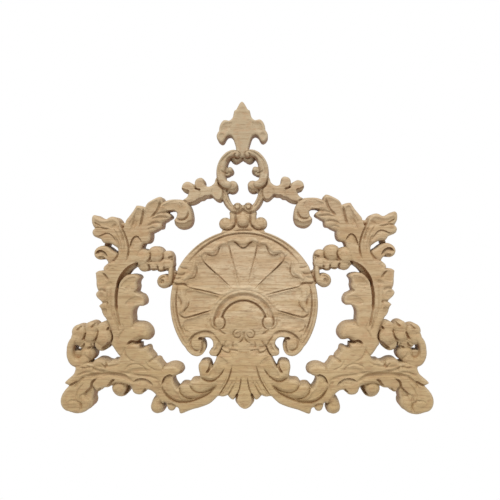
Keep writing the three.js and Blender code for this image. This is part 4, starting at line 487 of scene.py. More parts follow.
def cut_relief(sheet):
    """Carved relief: scoops, grooves, overlaps and the raised balls and rims."""
    patch = sheet.patch
    ball = sheet.ball
    ribbon = sheet.ribbon
    groove = sheet.groove
    lip = sheet.lip
    hollow = sheet.hollow
    # Finial and crest: soft scoops, the band's middle groove, the top curl and the rolled ends.
    hollow([[13, 235], [20, 235.5], [26, 231], [27, 224], [22, 222], [15, 227]], 1, 6)
    hollow([[23.5, 220], [28, 221], [30.5, 217], [27.5, 212.5], [24.5, 215]], 0.8, 4)
    groove([[9, 197.6], [15.8, 194.6], [19.8, 191.6], [24.6, 186.8], [27.8, 182], [29.4, 175.6],
        [29.8, 169.2], [29.4, 162.8]], 1.7, 1.7)
    groove(arc(7.6, 192.4, 5.8, 1.4, 20, 470, 26), 1.1, 2.2)
    groove([[13.6, 190], [16.8, 189], [19, 186], [20.2, 182.4]], 1.4, 2)
    ball(16.6, 174.2, 4, 13, 3.4)
    groove([[27.6, 173], [25, 170.8], [21, 169.6], [17, 169.2]], 1.3, 1.6)
    groove([[12.6, 173.4], [14.6, 171.4], [17.4, 170.8], [20, 172.4]], 1, 1.3)
    ball(12.8, 153.6, 6.4, 14, 4)
    groove([[27.6, 151.2], [22.2, 148.6], [19.4, 145.6]], 1.4, 1.4)
    groove([[7, 152.4], [9.4, 149], [13.6, 147.6], [17.6, 149]], 1.2, 1.5)
    groove([[34, 167.6], [31.8, 160], [30.2, 154.4], [27, 150.4], [25.8, 148]], 1.3, 1.5, True)

    # Neck: the lower bands, their volutes and the recess beside the boss.
    groove([[24.6, 148], [23, 141.6], [21.4, 135.2], [17.4, 128.8], [13.4, 124]], 1.4, 1.4)
    groove(arc(7.2, 126.6, 4.3, 3.9, 150, 385, 16), 1.7, 2.9, True)
    groove(arc(7, 126.8, 3.2, 1.2, 25, 140, 8), 1, 1.2)
    groove([[9.2, 119], [9.4, 112], [9.6, 105], [12.6, 100.4], [17, 98]], 1.5, 2)
    groove([[17.6, 119.8], [13, 118.8], [9, 117.8], [5, 118.4], [2, 120.8], [0, 122.6]], 2.3, 3.2, True)
    ball(0, 108, 8, 15.2, 5)
    groove(arc(0, 108, 8.6, 8.6, 205, 335, 12), 1.8, 1.7)
    groove([[12, 101], [16.6, 98], [22, 97], [27.4, 98.4]], 2.4, 1.5, True)
    groove([[19.4, 108.6], [21.6, 110.6], [24.6, 111], [26.8, 108.8], [27, 105.8]], 1.4, 2)
    lip([[29, 99], [24, 97.6], [18, 97.4], [12, 99.4]], 4, 2)

    # Sprig: the crease between its berries and the lobe against the band.
    groove([[53.6, 148.2], [58, 149], [62, 151]], 1.5, 3)
    groove([[60.6, 150.4], [61.8, 153.4], [63, 156]], 1.5, 2.4, True)
    ball(32, 143.4, 8.2, 15, 4.6)
    groove([[25.4, 148], [25.4, 142], [27, 137.6], [29.6, 135.4]], 1.3, 1.6)
    groove([[38.4, 150], [40, 145], [39, 140], [36.4, 136.6]], 1.2, 0.8)
    groove([[56, 149], [54.6, 144], [55, 139.4], [57, 135.6]], 1.2, 0.8)
    groove([[27.2, 135], [31, 133.6], [35.4, 135], [38.6, 138.2], [40.8, 140]], 2, 4.6, True)
    groove([[40.8, 140], [44, 139.2], [48.4, 139], [51.8, 136.8], [55.8, 136], [60, 133.2], [64.8, 131.2],
        [68.6, 130.6]], 2.2, 4.6, True)
    groove([[25.6, 133.4], [22.6, 128], [19.6, 123.6]], 1.8, 4, True)
    ball(55.4, 157.6, 6.6, 15, 4.4)
    ball(71.4, 152.2, 7.4, 15, 4.6)
    hollow([[69, 148], [73, 149], [77.6, 151], [79, 147], [75, 144], [70, 143]], 4.4, 2.4)

    # Arm scroll: rolled tongue over the dark barrel of the scroll.
    hollow([[80, 123], [79.6, 128], [82.4, 132], [90, 133.4], [98, 131.6], [104, 128.4], [100, 124.8],
        [94, 123.4], [88, 124], [84, 120.6]], 1.8, 4)
    groove([[78.6, 122], [79, 128], [82, 132.2], [89, 133.8], [98, 132]], 1.1, 1)
    groove([[69, 131.4], [75, 134.4], [82, 134.6], [92, 134.4]], 1.4, 1)
    hollow([[62, 109], [69.4, 109], [72.6, 106.6], [78.4, 105.4], [84.2, 107], [92, 109.6], [94, 100],
        [84, 92], [70, 92], [60, 100]], 3, 2.4)
    hollow([[62, 103.4], [70, 101.6], [78, 100.4], [86, 102.4], [92, 105], [90, 94], [66, 94]], 4, 4)
    groove([[69.6, 122], [70.2, 117.6], [71.4, 114], [74.8, 110.8], [79.4, 109.8], [84, 110.8],
        [86.6, 113.2]], 1.7, 2.4)
    lip([[100, 121.2], [94, 122.6], [88.6, 122.2], [85.4, 119]], 4, 2)

    # Upper leaf: creases between its lobes, the pocket over the berries, fingers and curl.
    groove([[105.6, 136.4], [106.7, 132], [108.1, 127.4], [110.6, 122], [115, 117.2], [120, 112.4]], 1.9,
        2.8)
    groove([[127.4, 126.4], [128.4, 121.4], [129.4, 115], [130.9, 108.3], [133.6, 100.6]], 1.7, 2.6)
    groove([[137, 112], [140.6, 105], [142.6, 99], [146.6, 95.4]], 3, 1.3)
    hollow([[131.4, 124], [136, 125.4], [139, 119.4], [143.6, 112], [147, 105.4], [141, 101], [136, 103.6],
        [132.8, 110], [131.2, 117]], 1.5, 5)
    hollow([[110, 136], [116, 134], [122.6, 129.6], [126, 122], [126.6, 112], [122, 108], [116.6, 113],
        [111.6, 121], [109, 129]], 1.4, 5)
    hollow([[160, 104], [166, 109.6], [174, 109], [184, 108.6], [191, 111], [192, 107], [184, 103.4],
        [174, 101.6], [166, 99], [160.6, 97]], 1.2, 4)
    groove([[93.4, 113.6], [101, 113.4], [109, 114], [118, 111]], 1.7, 1.5)
    groove([[98, 119.4], [106, 119], [112, 116.6], [117.6, 113.4]], 1.5, 1.2)
    groove([[103.8, 105], [110, 107], [117, 106], [124, 102]], 1.7, 1.5)
    groove([[110.6, 98.4], [117, 100], [124, 97.4]], 1.6, 1.2)
    hollow([[152.6, 109.4], [160, 109], [159, 104], [156.6, 99.6], [154.6, 99.4], [153, 104]], 7, 1.4)
    groove([[158, 106], [156.4, 100], [153, 92.6], [150, 84.6], [148.2, 76], [148.2, 68.6], [149.6, 62],
        [152, 55.4]], 1.4, 2.6)
    groove([[159.6, 99], [158, 93], [156, 88], [155, 80]], 2.2, 1)
    lip([[147, 72], [145.6, 80], [143.4, 86], [139.4, 90], [136, 90], [132.4, 86], [130, 80]], 7, 2.6)
    groove([[183, 102.8], [188, 104.8], [193.4, 108.4]], 1.3, 1.8)
    groove([[172, 99.4], [179, 99.8], [185, 101.4], [193, 100.6]], 1.3, 1.6)
    groove([[163, 104.6], [166.6, 103.4], [168, 99.6]], 2.6, 1.2)
    lip([[193.4, 91.2], [188.6, 90.4], [184.4, 91.4], [181.8, 92.6], [176.7, 94.4], [171.7, 93.2],
        [168.2, 90.2], [165.6, 86], [163, 81]], 6, 1.9)
    groove([[161.4, 70], [161.2, 78], [163, 84], [166, 89]], 1.8, 1.6)
    lip([[192, 66.4], [189.4, 70.6], [185, 72.3], [180, 70.5], [176.6, 66.8], [175, 62.4]], 9, 4)
    groove([[179.6, 60.6], [183.6, 62.6], [188.6, 61.6]], 2, 3)
    groove([[161.6, 70], [163.4, 63.6], [167, 59], [170.6, 56.4]], 1.4, 2)

    # Standing leaf: the deep valley behind the inner lobe, then soft scoops on the outer lobes.
    hollow([[149.4, 40.8], [153.6, 37], [157.6, 32.6], [161, 27], [163.4, 22], [164.4, 26], [161.6, 35.6],
        [157.2, 42.6], [152, 48.4], [147, 52], [140, 55], [136, 55.4], [140, 50], [145, 46.4]], 7.5, 2.6)
    groove([[160.6, 31], [162.6, 25], [163.7, 20], [164.4, 15], [164.8, 6.7], [164.5, -1.7], [164, -9]],
        2.1, 5)
    groove([[164.2, -5], [162.7, -15], [161.3, -22], [159.4, -30]], 1.7, 2)
    groove([[168, -6], [166.4, -17], [163.6, -27], [160.6, -36]], 1.5, 1.2)
    groove([[175, 31.6], [176, 35.4], [178.6, 39.2], [183, 43]], 1.6, 1.6)
    hollow([[172, 51], [176, 53.6], [179.6, 51.4], [180.6, 48], [176.6, 45], [173, 47]], 1, 4)
    hollow([[178, 40], [183, 43.4], [190, 42], [189.6, 34], [188, 28], [181, 30], [177, 34]], 1, 5)
    groove([[169, 29.6], [173.6, 27.6], [178, 25.2]], 3.4, 1.2)
    groove([[188.4, 19.4], [183, 20.4], [177, 17.6]], 2.2, 1.4)
    hollow([[184, 17.4], [190, 16.4], [189.4, 12], [185, 8], [180, 8.6], [180, 14]], 1, 4)
    groove([[183.6, 3.6], [179, 4.4], [174, 2]], 2, 1.4)
    hollow([[177.6, -3.4], [183.6, -4], [184, -9.6], [181.4, -13.4], [177.6, -12], [176.6, -7]], 2, 3)
    groove([[136.6, 20.4], [138.8, 18.6], [141.4, 17]], 1.6, 2.4)
    groove([[144.6, 26], [150, 22], [155, 18]], 3.4, 0.9)
    hollow([[139, 37], [146, 36.6], [154, 31.6], [158.6, 24], [154, 22], [146, 25.6], [141, 29]], 1.2, 5)
    hollow([[131, 10], [139, 12], [148, 8.6], [153, 2], [146, -0.6], [136, 2], [130, 4.6]], 1.2, 5)
    groove([[128.6, -25.4], [134, -27.4], [140, -27.4], [147, -28.4]], 2, 1)
    groove([[131, -46.4], [135, -46.2], [138.3, -48.4], [140.8, -48.2], [145, -46.4], [148.3, -48],
        [151.4, -51.4]], 2, 5)
    groove([[155.6, -51], [155, -58], [151.4, -66], [146, -70.6], [139, -73]], 1.8, 1)

    # Branch and bottom lobes.
    groove([[107, -65.8], [109, -69], [111.4, -72]], 1.7, 2.6)
    groove([[102.4, -76.8], [104.6, -80.4], [105, -84]], 1.3, 1.6)
    groove([[117, -67.6], [120.4, -71.4], [124, -73.6]], 2, 1.4)
    groove([[126, -86.6], [130, -79.4], [139, -75.4], [149, -77.6], [154.6, -84.6]], 1.5, 0.9)
    groove([[158, -73], [164, -76.4], [174, -78.6], [186, -79], [196, -77.4]], 2.2, 1)
    groove([[106, -101], [112, -95.6], [122, -91.6], [136, -90], [150, -87.6], [166, -84]], 2.2, 1.3)
    groove([[172, -85.4], [186, -83.6], [200, -79], [210, -76.4]], 1.8, 1)
    groove([[196, -86], [208, -86.6], [218, -91]], 1.8, 1.2)
    groove([[142.4, -99.6], [148, -95.8], [155, -91.6], [165, -89.4], [178, -88.8], [190, -89.4],
        [202, -91], [213, -92.6]], 3.8, 3.2)
    lip([[144, -99], [142, -96.6], [138, -94.4], [132, -93.6], [125.4, -95], [120, -99], [117, -104]], 12,
        3)
    groove([[167, -95.6], [171, -97], [173.4, -100.4], [178, -105.8]], 1.9, 3.4)
    groove([[190, -94], [194, -95.8], [197.4, -99.4], [198.4, -104.6], [203.4, -110.4], [210.4, -116]], 1.7,
        3.4)
    groove([[206, -91.6], [212.4, -96], [217, -101.4], [220.4, -107]], 2, 1.8)
    groove([[215.6, -97], [221.6, -100.6], [228.4, -103.8]], 1.7, 3)
    groove([[198.6, -79.6], [206, -80.6], [213, -80]], 1.7, 1.6)
    groove([[179, -84.4], [187, -84.8], [193.4, -83.6], [197.4, -78.6]], 1.8, 1.6)
    groove([[177.6, -70], [178.6, -74], [178, -79.6]], 1.7, 2.6)
    groove([[186, -74.4], [182, -77.6], [178.6, -81]], 1.6, 1.3)
    groove([[122, -84], [132, -82.6], [142, -83.6], [152, -86.4]], 3.2, 1.1)
    groove([[163, -70.4], [169, -71.6], [172, -72.6]], 1.8, 1.6)
    ball(223.6, -123, 15.8, 15, 6.6)
    patch([[196, -106], [207, -110], [214, -122], [212, -138], [203, -134], [199, -124]], BASE, 3, 5)
    ball(207.6, -125.6, 10.4, 14, 6)
    groove([[207.4, -112], [212, -117.4], [212.6, -125], [211.8, -131.6], [215, -138.6]], 2.2, 1.2)
    groove(arc(221.6, -131, 9.4, 9.4, 200, 25, 12), 1.5, 0.8)
    lip([[232, -135.6], [224, -138], [216, -136.4]], 3.4, 1.6)
    ball(113.6, -132, 9, 12.5, 8)
    ball(136, -105, 10.4, 11, 6)
    ball(189.6, -103.6, 7, 14, 5)
    ball(161.8, -108, 11.4, 13, 3)
    ball(163.6, -107.6, 9.4, 14, 5.4)
    groove([[153, -102.4], [152, -107.6], [153.8, -112.6], [158, -117.4]], 2, 6)
    groove([[127.6, -106.6], [130, -110], [132.6, -112.6]], 1.1, 2.6)
    groove([[186, -105.6], [188.4, -108.6], [192, -110]], 1.1, 2)

    # Bottom sweep: side volute, its two lobes, the long scroll groove and the hook under the nose.
    lip([[24, -80], [28, -87.4], [33.4, -93.6], [38.2, -97.4], [43.6, -99], [48.6, -98.4], [53.4, -95.6],
        [57.6, -91]], 8, 3.6)
    groove([[44, -72.6], [43.6, -77], [44.8, -81.4], [47, -85], [49.6, -88.2]], 1.8, 3.8)
    lip([[34, -101], [39, -107], [44.6, -110.8], [51, -112.6], [57.4, -113.4], [63.6, -111.8], [68, -108],
        [70.4, -103.4], [70.4, -98]], 6, 2.2)
    lip([[64, -121.4], [70.2, -121.6], [75.4, -120], [80, -117], [83.2, -112.4], [84, -106.8],
        [82.4, -101.6]], 7, 2.4)
    lip([[33, -101.6], [39.8, -109.6], [46.2, -115], [54.2, -119.2], [62.2, -122.4], [70.2, -125],
        [78.2, -126], [86.2, -125.6], [92.8, -123.2], [98.6, -119], [102.8, -113.8], [105.8, -107.6],
        [106.2, -100]], 9, 3.8)
    lip([[107, -103], [105.2, -95.4], [101.4, -90.8], [96, -88.8], [89.6, -90.6]], 9, 4)
    hollow([[93, -95], [98, -92.6], [102.4, -96], [103.4, -104], [100, -112], [92, -118], [82, -121],
        [84, -115], [90, -108], [92, -101]], 1.4, 6)
    groove([[110, -112.6], [108.6, -107], [110.6, -101], [114.6, -96.6]], 2.2, 1.2)
    groove([[88.6, -131], [92, -128.2], [96.6, -127], [100.6, -128.4]], 1.9, 2.2)

    # Pendant plume.
    groove([[14.6, -76], [16.4, -82], [17.9, -88], [20, -94.4], [23.2, -100.8], [27.2, -107.2],
        [31.2, -113.4], [35, -118.6]], 1.2, 2.2)
    groove([[4, -92], [4.8, -100], [6.6, -108.4], [9.4, -114.6], [11, -118]], 1, 2)
    groove([[9, -90], [10.6, -98], [13.4, -106], [16.4, -112]], 1.2, 0.9)
    groove([[14, -96], [18.6, -105], [23.4, -112]], 1.2, 0.9)
    groove([[21, -90], [25, -99], [29.6, -106.6], [33, -111]], 1.3, 0.9)
    groove([[23, -106], [26.6, -111.6], [30, -116]], 1, 0.8)
    groove([[12.6, -101], [15.2, -105.6], [17.6, -110.2], [20.4, -114.4], [22, -117]], 1.2, 1.8)
    patch(mirrored([[0, -99], [4.4, -103], [7.2, -110], [10, -116.4], [12.1, -122], [11.4, -126],
        [9.4, -129.6], [6, -133.2], [3, -134.8], [0, -135.4]]), 15, 6, 9)
    groove([[9.6, -115.4], [11.4, -121.6], [10.8, -125.8], [8.8, -129.2], [5.6, -132.6], [2.8, -134],
        [0, -134.5], [-2.8, -134]], 2, 5.4, True)
    hollow([[20, -76], [26, -80], [33, -90], [40, -93], [45, -92], [43, -84], [38, -80], [36, -72],
        [32, -66], [26, -68]], 1.6, 8)

    # Disc: rim lines and the ribbon that wraps the rim.
    groove([*arc(0, 0.8, 90.8, 90.8, 112, 75, 10), *arc(0, 0.8, 90.4, 88.3, 70, 34, 10)], 1.5, 2.4)
    groove([*arc(0, 0.8, 94.6, 94.6, 112, 78, 10), *arc(0, 0.8, 94.2, 94.2, 72, 36, 10)], 1.3, 1.8)
    groove([[83.6, 27], [85.4, 21], *arc(0, 0.8, 87.5, 86.4, 8, -30, 12)], 1.3, 2.2)
    groove([*arc(0, 0.8, 91.4, 90.6, 12, -33, 14), [75, -49], [72, -55.6], [67, -60.6]], 1.1, 1)
    groove([[71, 47], [77, 47.4], [83, 49.5]], 1.5, 1.4)
    groove([[74, 42.6], [78, 39.4], [84, 39.4], [91, 41.6]], 1.6, 1.6)
    groove([[71, 23.4], [75.4, 26.6], [80, 27.4], [86, 27], [92, 29.6]], 1.9, 2.8)
    groove([[80, 36], [85, 33.6], [91, 35]], 1.8, 1.2)

    # Disc: scooped lobes of the shell, then the valleys between them and their curled rims.
    hollow(mirrored([[0, 74], [4, 75], [8, 79], [14, 80], [18, 77], [17, 66], [11, 46], [5, 24], [0, 23]]),
        1.7, 9)
    hollow([[19, 78], [26, 76], [31, 73], [33, 66], [38, 63], [46, 65], [49, 57], [40, 47], [15, 23],
        [8, 26], [13, 50]], 1.9, 9)
    hollow([[50, 55], [57, 54], [60, 47], [61, 38], [66, 34], [72, 32], [73, 26], [60, 21.5], [30, 14.5],
        [18, 21], [34, 39]], 1.9, 9)
    hollow([[73, 21], [75, 13], [71, 5], [71, -1], [75, -7], [74, -13], [58, -10], [43, -5.6], [37, 4],
        [31, 10], [50, 15.5]], 1.9, 9)
    hollow([[66, -16.6], [76, -19.6], [78, -26], [73, -33], [62, -30], [49, -29], [46, -20], [44, -11]],
        1.9, 8)
    groove([[18.6, 84], [18.4, 74], [15.6, 64], [11, 46], [5, 23]], 1.7, 1.1)
    groove([[53.6, 64], [52.4, 58], [47, 51.6], [30, 35.6], [13.6, 19.6]], 1.2, 1.7)
    groove([[76, 26], [70, 22.6], [56, 19.4], [42, 15.8], [27, 12]], 1.3, 1.9)
    groove([[84.6, -8], [82, -13], [76.4, -16.2], [68, -14.6], [54, -10.6], [41, -6.8]], 1.5, 2.3)
    groove([[79, -25], [77, -32], [70, -35]], 1.8, 1.8)
    groove([[84.6, 14], [83.6, 9], [80.6, 3.4], [79.4, -3]], 1.8, 1.8)
    ribbon([[-8, 83.4, 4], [0, 80.6, 5], [7, 83, 4.6], [13, 84.6, 3.4], [18, 82, 2.4]], 17, 3.6, 4.6)
    ribbon([[24, 80, 2.6], [30.6, 78.6, 3.4], [35.4, 73.6, 4], [39.4, 69.4, 4], [45, 69.6, 3.8],
        [50.4, 69, 3.4], [54.4, 64.6, 2.6]], 17, 3.6, 4)
    ribbon([[62.6, 56, 2.4], [64.4, 48, 3.4], [66.6, 41.4, 3.8], [71.4, 38, 3.4], [76, 33.6, 2.6]], 17, 3.4,
        3.8)
    ribbon([[79.6, 19, 2.6], [78.4, 11, 3.8], [76, 3.4, 4.2], [78, -2.6, 3.6], [80.6, -8, 2.6]], 17, 3.4,
        4.2)
    lip([[14, 80], [11, 81], [8, 79.5], [4, 75], [0, 73.5], [-5, 77]], 5, 1.6)
    groove([[15, 80], [11, 81], [8, 79.5], [4, 75], [0, 73.5], [-4, 75], [-8, 79.5]], 1.1, 1.5)
    groove([[26, 76], [30, 74.8], [32, 69.4], [34, 65.2], [37, 63.5], [42, 63.8], [47, 65.5], [50, 63]],
        1.2, 1.9)
    groove([[61, 53], [60.2, 46], [60.6, 40], [63, 36], [66, 34.6], [70, 33.8], [74, 30.6]], 1.2, 1.9)
    groove([[71.4, 6], [71, 3], [72, -2], [76, -6], [78, -11]], 1.2, 1.9)

    # Disc: the arch with its bead and cove, the smooth shield inside it and the end balls.
    ball(0, -20, 27.6, 17.4, 3.8)
    groove(arc(0, -23.4, 36, 36, 188, -4, 34), 3.6, 2.8, True)
    groove(arc(0, -23.4, 28.7, 28.7, 168, 12, 30), 1.7, 3, True)
    groove(arc(0, -23.4, 42.4, 42.4, 170, 8, 30), 1.2, 0.6)
    ball(31.6, -22.8, 7.2, 17, 3.4)
    groove([[36.6, -13], [38.2, -18], [37.8, -24], [35, -28.2]], 1.9, 1.4)
    groove([[42.4, -14], [43, -21], [41.2, -27.4], [37, -31], [31.4, -31.6]], 1.3, 1.3)
    groove([[28.4, -14], [25.4, -17.6], [24, -22], [25, -27], [28, -30.4], [31.6, -31.4]], 1.3, 2.3)
    groove([[33, -30.6], [28.4, -35], [22.4, -38.4]], 1.7, 1.7)

    # Disc: small spirals, their stems and the frill over the plume.
    groove(arc(8.6, -37, 5.6, 4.8, 110, -200, 18), 1.1, 1.5)
    groove(arc(8, -37, 2.4, 1.4, 160, -60, 8), 0.9, 0.9)
    groove([[2.6, -32.4], [0.6, -36], [0.8, -41.6], [3.4, -46.4], [9, -49.8]], 1.2, 1.5)
    lip([[37, -67], [34.6, -64.6], [31, -60.4], [29.5, -55.5, 1], [26, -59.4], [22, -61.2], [19, -61.8, 1],
        [18, -57.5, 1], [12, -58], [6, -60.6]], 8, 3.4)
    groove([[38, -39.6], [34, -44.4], [30.6, -50], [29.6, -56]], 1.3, 1.6)
    groove([[22, -45], [24.6, -50], [24.4, -56]], 1.4, 1.2)
    groove([[13, -46.6], [14.6, -51], [14, -56]], 1.4, 1)
    groove([[7, -51.4], [12.6, -53.4], [17.6, -52]], 3.2, 1.2)
    groove([[19.6, -50], [22, -55], [26, -54.4], [29, -50]], 2.8, 1.4)

    # Disc: the lower volutes.
    groove([[36, -43], [38.6, -39.2], [43.4, -36.6], [50, -35.6], [57.4, -37], [64, -40.4], [68.6, -45],
        [70.6, -51]], 3, 2)
    groove([[37, -39.4], [42, -35.2], [50, -33.6], [58, -35.2], [65, -38.8], [70, -44.6], [72, -50],
        [71, -56]], 1.4, 1.6)
    ball(60, -51.6, 9, 14.6, 5.6)
    groove([[66.4, -42.6], [68.8, -47], [68.6, -52.6], [66, -56.8], [61, -58.8], [56, -57.4]], 1.5, 1.8)
    hollow([[50.6, -43.4], [53.4, -41.4], [58.6, -42], [58.6, -45], [54.4, -45.4], [52.4, -48]], 6, 3)
    groove([[54, -44], [52.2, -49], [52, -54.6], [53.6, -59.6], [57, -63.4]], 3, 5)
    groove([[30.2, -56], [31.6, -60.6], [35.8, -66.8]], 1.1, 1.6)
    groove([[33.4, -48], [34.6, -54], [38.6, -60]], 1.8, 1.2)
    groove([[74, -38], [72.6, -44], [73.6, -51]], 1.3, 1)

    # Upper berries and the rim scroll: creases where one berry tucks behind the next.
    groove([[121.4, 71], [119.8, 64.2], [121.8, 59.2], [126, 54.8]], 1.4, 2.6)
    groove([[98, 46.2], [103, 44.4], [108, 44], [111.4, 45.8], [117, 46], [122.4, 46.2]], 1.7, 4, True)
    groove([[111.4, 45.4], [110.6, 48.4], [111.6, 51.4]], 1.4, 2.6)
    groove([[122.6, 45.6], [122, 49.4], [123.8, 53.4]], 1.5, 2.8)
    groove([[103.4, 44.4], [102.4, 47.2], [103.4, 50]], 1.4, 2.8)
    groove([[133, 49], [137, 52.6], [138.6, 56]], 1.1, 1)
    groove([[104.4, 68.8], [103.3, 63.3], [105.8, 58.3], [111, 54.4]], 1.3, 1.4)
    groove([[91, 62.6], [94.6, 62], [97.4, 60.6]], 1.7, 3)
    groove(arc(98, 52.3, 5, 5, 210, 420, 12), 1, 0.9)
    groove([[99.6, 35.6], [103.6, 36.4], [107.4, 33.6], [107.2, 29.4], [103.6, 27.6]], 1.5, 2.2)
    hollow([[102, 33], [105.4, 33.6], [106, 29.4], [103.4, 28.4]], 2.4, 1.8)
    groove([[97.6, 46], [98, 40], [99, 35.6]], 1.3, 1.6)

    # Lower berries and the side curl.
    hollow([[175.4, -27.6], [177.4, -28.4], [178.6, -32], [176.8, -32.6]], 3, 1.4)
    groove([[174.6, -32], [171, -38.6], [171.4, -44.4], [174.6, -50.4]], 1.4, 3)
    groove([[172.6, -47], [177, -51.6], [180.6, -55], [185.6, -57.6]], 3.2, 6.4)
    groove([[200.6, -71.4], [206, -66], [207.6, -60]], 2.4, 1)
    groove([[190.2, -30.6], [190.2, -37.5], [192.4, -43], [196.2, -45.8], [199.4, -45.8]], 1.6, 3)
    groove([[205.6, -34], [207.5, -40], [211.4, -46]], 1.6, 3)
    groove([[193.6, -24], [197.6, -27.6]], 1.7, 2.6, True)
    groove([[212.4, -27.6], [216.4, -31.2]], 1.5, 2.2, True)
    groove([[195.6, -55.6], [199.6, -54.2], [204.6, -56]], 1.7, 3)
    groove([[199.4, -50.6], [198.4, -54]], 1.4, 2, True)
    groove([[207.6, -48], [209.6, -52.6], [213.6, -54.4]], 1.5, 2.4)
    patch([[212, -61], [222, -59.6], [224, -68], [214, -71]], BASE, 1, 3)


def cut_fine_lines(sheet):
    """Thin carved lines that the solid has no room for: the shell's rays, then the leaf veins."""
    rays = ([[18.4, 80], [15.6, 64], [11, 46], [5, 23]],
            [[50, 55], [47, 51.6], [30, 35.6], [13.6, 19.6]],
            [[68, 21.8], [56, 19.4], [42, 15.8], [27, 12]],
            [[66, -14], [54, -10.6], [41, -6.8]])
    for ray in rays:
        sheet.groove(ray, RAY_WIDTH, RAY_DEPTH)
    veins = ([[157, 62], [157.4, 74], [161, 88], [168, 99], [178, 104]],
             [[154, 66], [153.6, 78], [156, 90], [160, 100]],
             [[171, 28], [172, 10], [171, -8], [167, -24]],
             [[176, 20], [176.6, 6], [175, -8]],
             [[158, -22], [155, -30], [160, -38], [163, -46]],
             [[176.6, 33], [178.6, 38.4], [183.6, 42.6]],
             [[207, -99], [214.6, -108], [218, -118], [215.6, -127]],
             [[213, -136], [213.4, -128], [219, -123], [227, -124.4]],
             [[128, -70], [124, -78], [112, -84]],
             [[140, 120], [141, 110], [145, 100]])
    for vein in veins:
        sheet.groove(vein, VEIN_WIDTH, VEIN_DEPTH)


def carve(x, z, tolerance):
    """Heights and depths inside the outline at the given points of the right half."""
    sheet = Sheet(x, z, tolerance)
    lay_masses(sheet)
    cut_relief(sheet)
    cut_fine_lines(sheet)
    return sheet.height, sheet.within


def smooth_noise(x, z, spacing, seed):
    """Soft random waves between -1 and 1 with the given spacing."""
    lattice = np.random.default_rng(seed).uniform(-1, 1, (LATTICE, LATTICE))
    u = x / spacing + LATTICE / 2
    v = z / spacing + LATTICE / 2
    i = np.floor(u).astype(int)
    j = np.floor(v).astype(int)
    s = u - i
    t = v - j
    s = s * s * (3 - 2 * s)
    t = t * t * (3 - 2 * t)
    low = lattice[j, i] * (1 - s) + lattice[j, i + 1] * s
    high = lattice[j + 1, i] * (1 - s) + lattice[j + 1, i + 1] * s
    return low * (1 - t) + high * t


def hand_marks(x, z):
    """Small unevenness that the gouge leaves, a little different on the two halves."""
    waves = smooth_noise(x, z, WAVE_SPACING, WAVE_SEED) * WAVE_DEPTH
    return waves + smooth_noise(x * SCRAPE_STRETCH, z, SCRAPE_SPACING, SCRAPE_SEED) * SCRAPE_DEPTH


def blurred(values, reach):
    """Box blur over a square of nodes, run three times."""
    size = 2 * reach + 1
    for axis in (0, 1, 0, 1, 0, 1):
        pad = [(reach + 1, reach) if a == axis else (0, 0) for a in (0, 1)]
        total = np.cumsum(np.pad(values, pad, mode="edge"), axis=axis)
        first = total.take(range(values.shape[axis]), axis=axis)
        last = total.take(range(size, size + values.shape[axis]), axis=axis)
        values = (last - first) / size
    return values


def cells_to_triangles(solid, node, across, upward, high):
    """Triangles over the solid part of the grid, cut where the outline crosses the cells."""
    corner = [node[:-1, :-1], node[:-1, 1:], node[1:, 1:], node[1:, :-1]]
    edge = [across[:-1, :], upward[:, 1:], across[1:, :], upward[:, :-1]]
    state = [solid[:-1, :-1], solid[:-1, 1:], solid[1:, 1:], solid[1:, :-1]]
    level = [high[:-1, :-1], high[:-1, 1:], high[1:, 1:], high[1:, :-1]]
    code = sum(s.astype(int) << k for k, s in enumerate(state))
    falling = np.abs(level[0] - level[2]) <= np.abs(level[1] - level[3])
    triangles = []
    for slope, order in ((falling, (0, 1, 2, 3)), (~falling, (1, 2, 3, 0))):
        whole = (code == 15) & slope
        a, b, c, d = (corner[k][whole] for k in order)
        triangles += [np.stack([a, b, c], axis=1), np.stack([a, c, d], axis=1)]
    for case in range(1, 15):
        here = code == case
        ring = []
        for k in range(4):
            if case >> k & 1:
                ring.append(corner[k][here])
            if (case >> k & 1) != (case >> (k + 1) % 4 & 1):
                ring.append(edge[k][here])
        triangles += [np.stack([ring[0], ring[k], ring[k + 1]], axis=1) for k in range(1, len(ring) - 1)]
    return np.concatenate(triangles)


def grid_of_carving():
    """Carves the right half on a fine grid and unfolds it to both sides."""
    x = np.arange(round(SHEET_RIGHT / STEP) + 1) * STEP
    z = SHEET_BOTTOM + np.arange(round((SHEET_TOP - SHEET_BOTTOM) / STEP) + 1) * STEP
    flat_x, flat_z = (values.ravel() for values in np.meshgrid(x, z))
    height, within = (values.reshape(len(z), len(x)) for values in carve(flat_x, flat_z, 0))
    unfold = [np.concatenate([values[:, :0:-1], values], axis=1) for values in (height, within)]
    return np.concatenate([-x[:0:-1], x]), z, *unfold


def crossings(within, solid, axis):
    """Where the outline crosses the grid edges that run along one axis, and how far along them."""
    count = within.shape[axis]
    first = within.take(range(count - 1), axis=axis)
    second = within.take(range(1, count), axis=axis)
    first_solid = solid.take(range(count - 1), axis=axis)
    crossed = first_solid != solid.take(range(1, count), axis=axis)
    j, i = np.nonzero(crossed)
    share = np.clip(first[j, i] / (first[j, i] - second[j, i]), RIM_MARGIN, 1 - RIM_MARGIN)
    return crossed, j, i, share, first_solid[j, i]


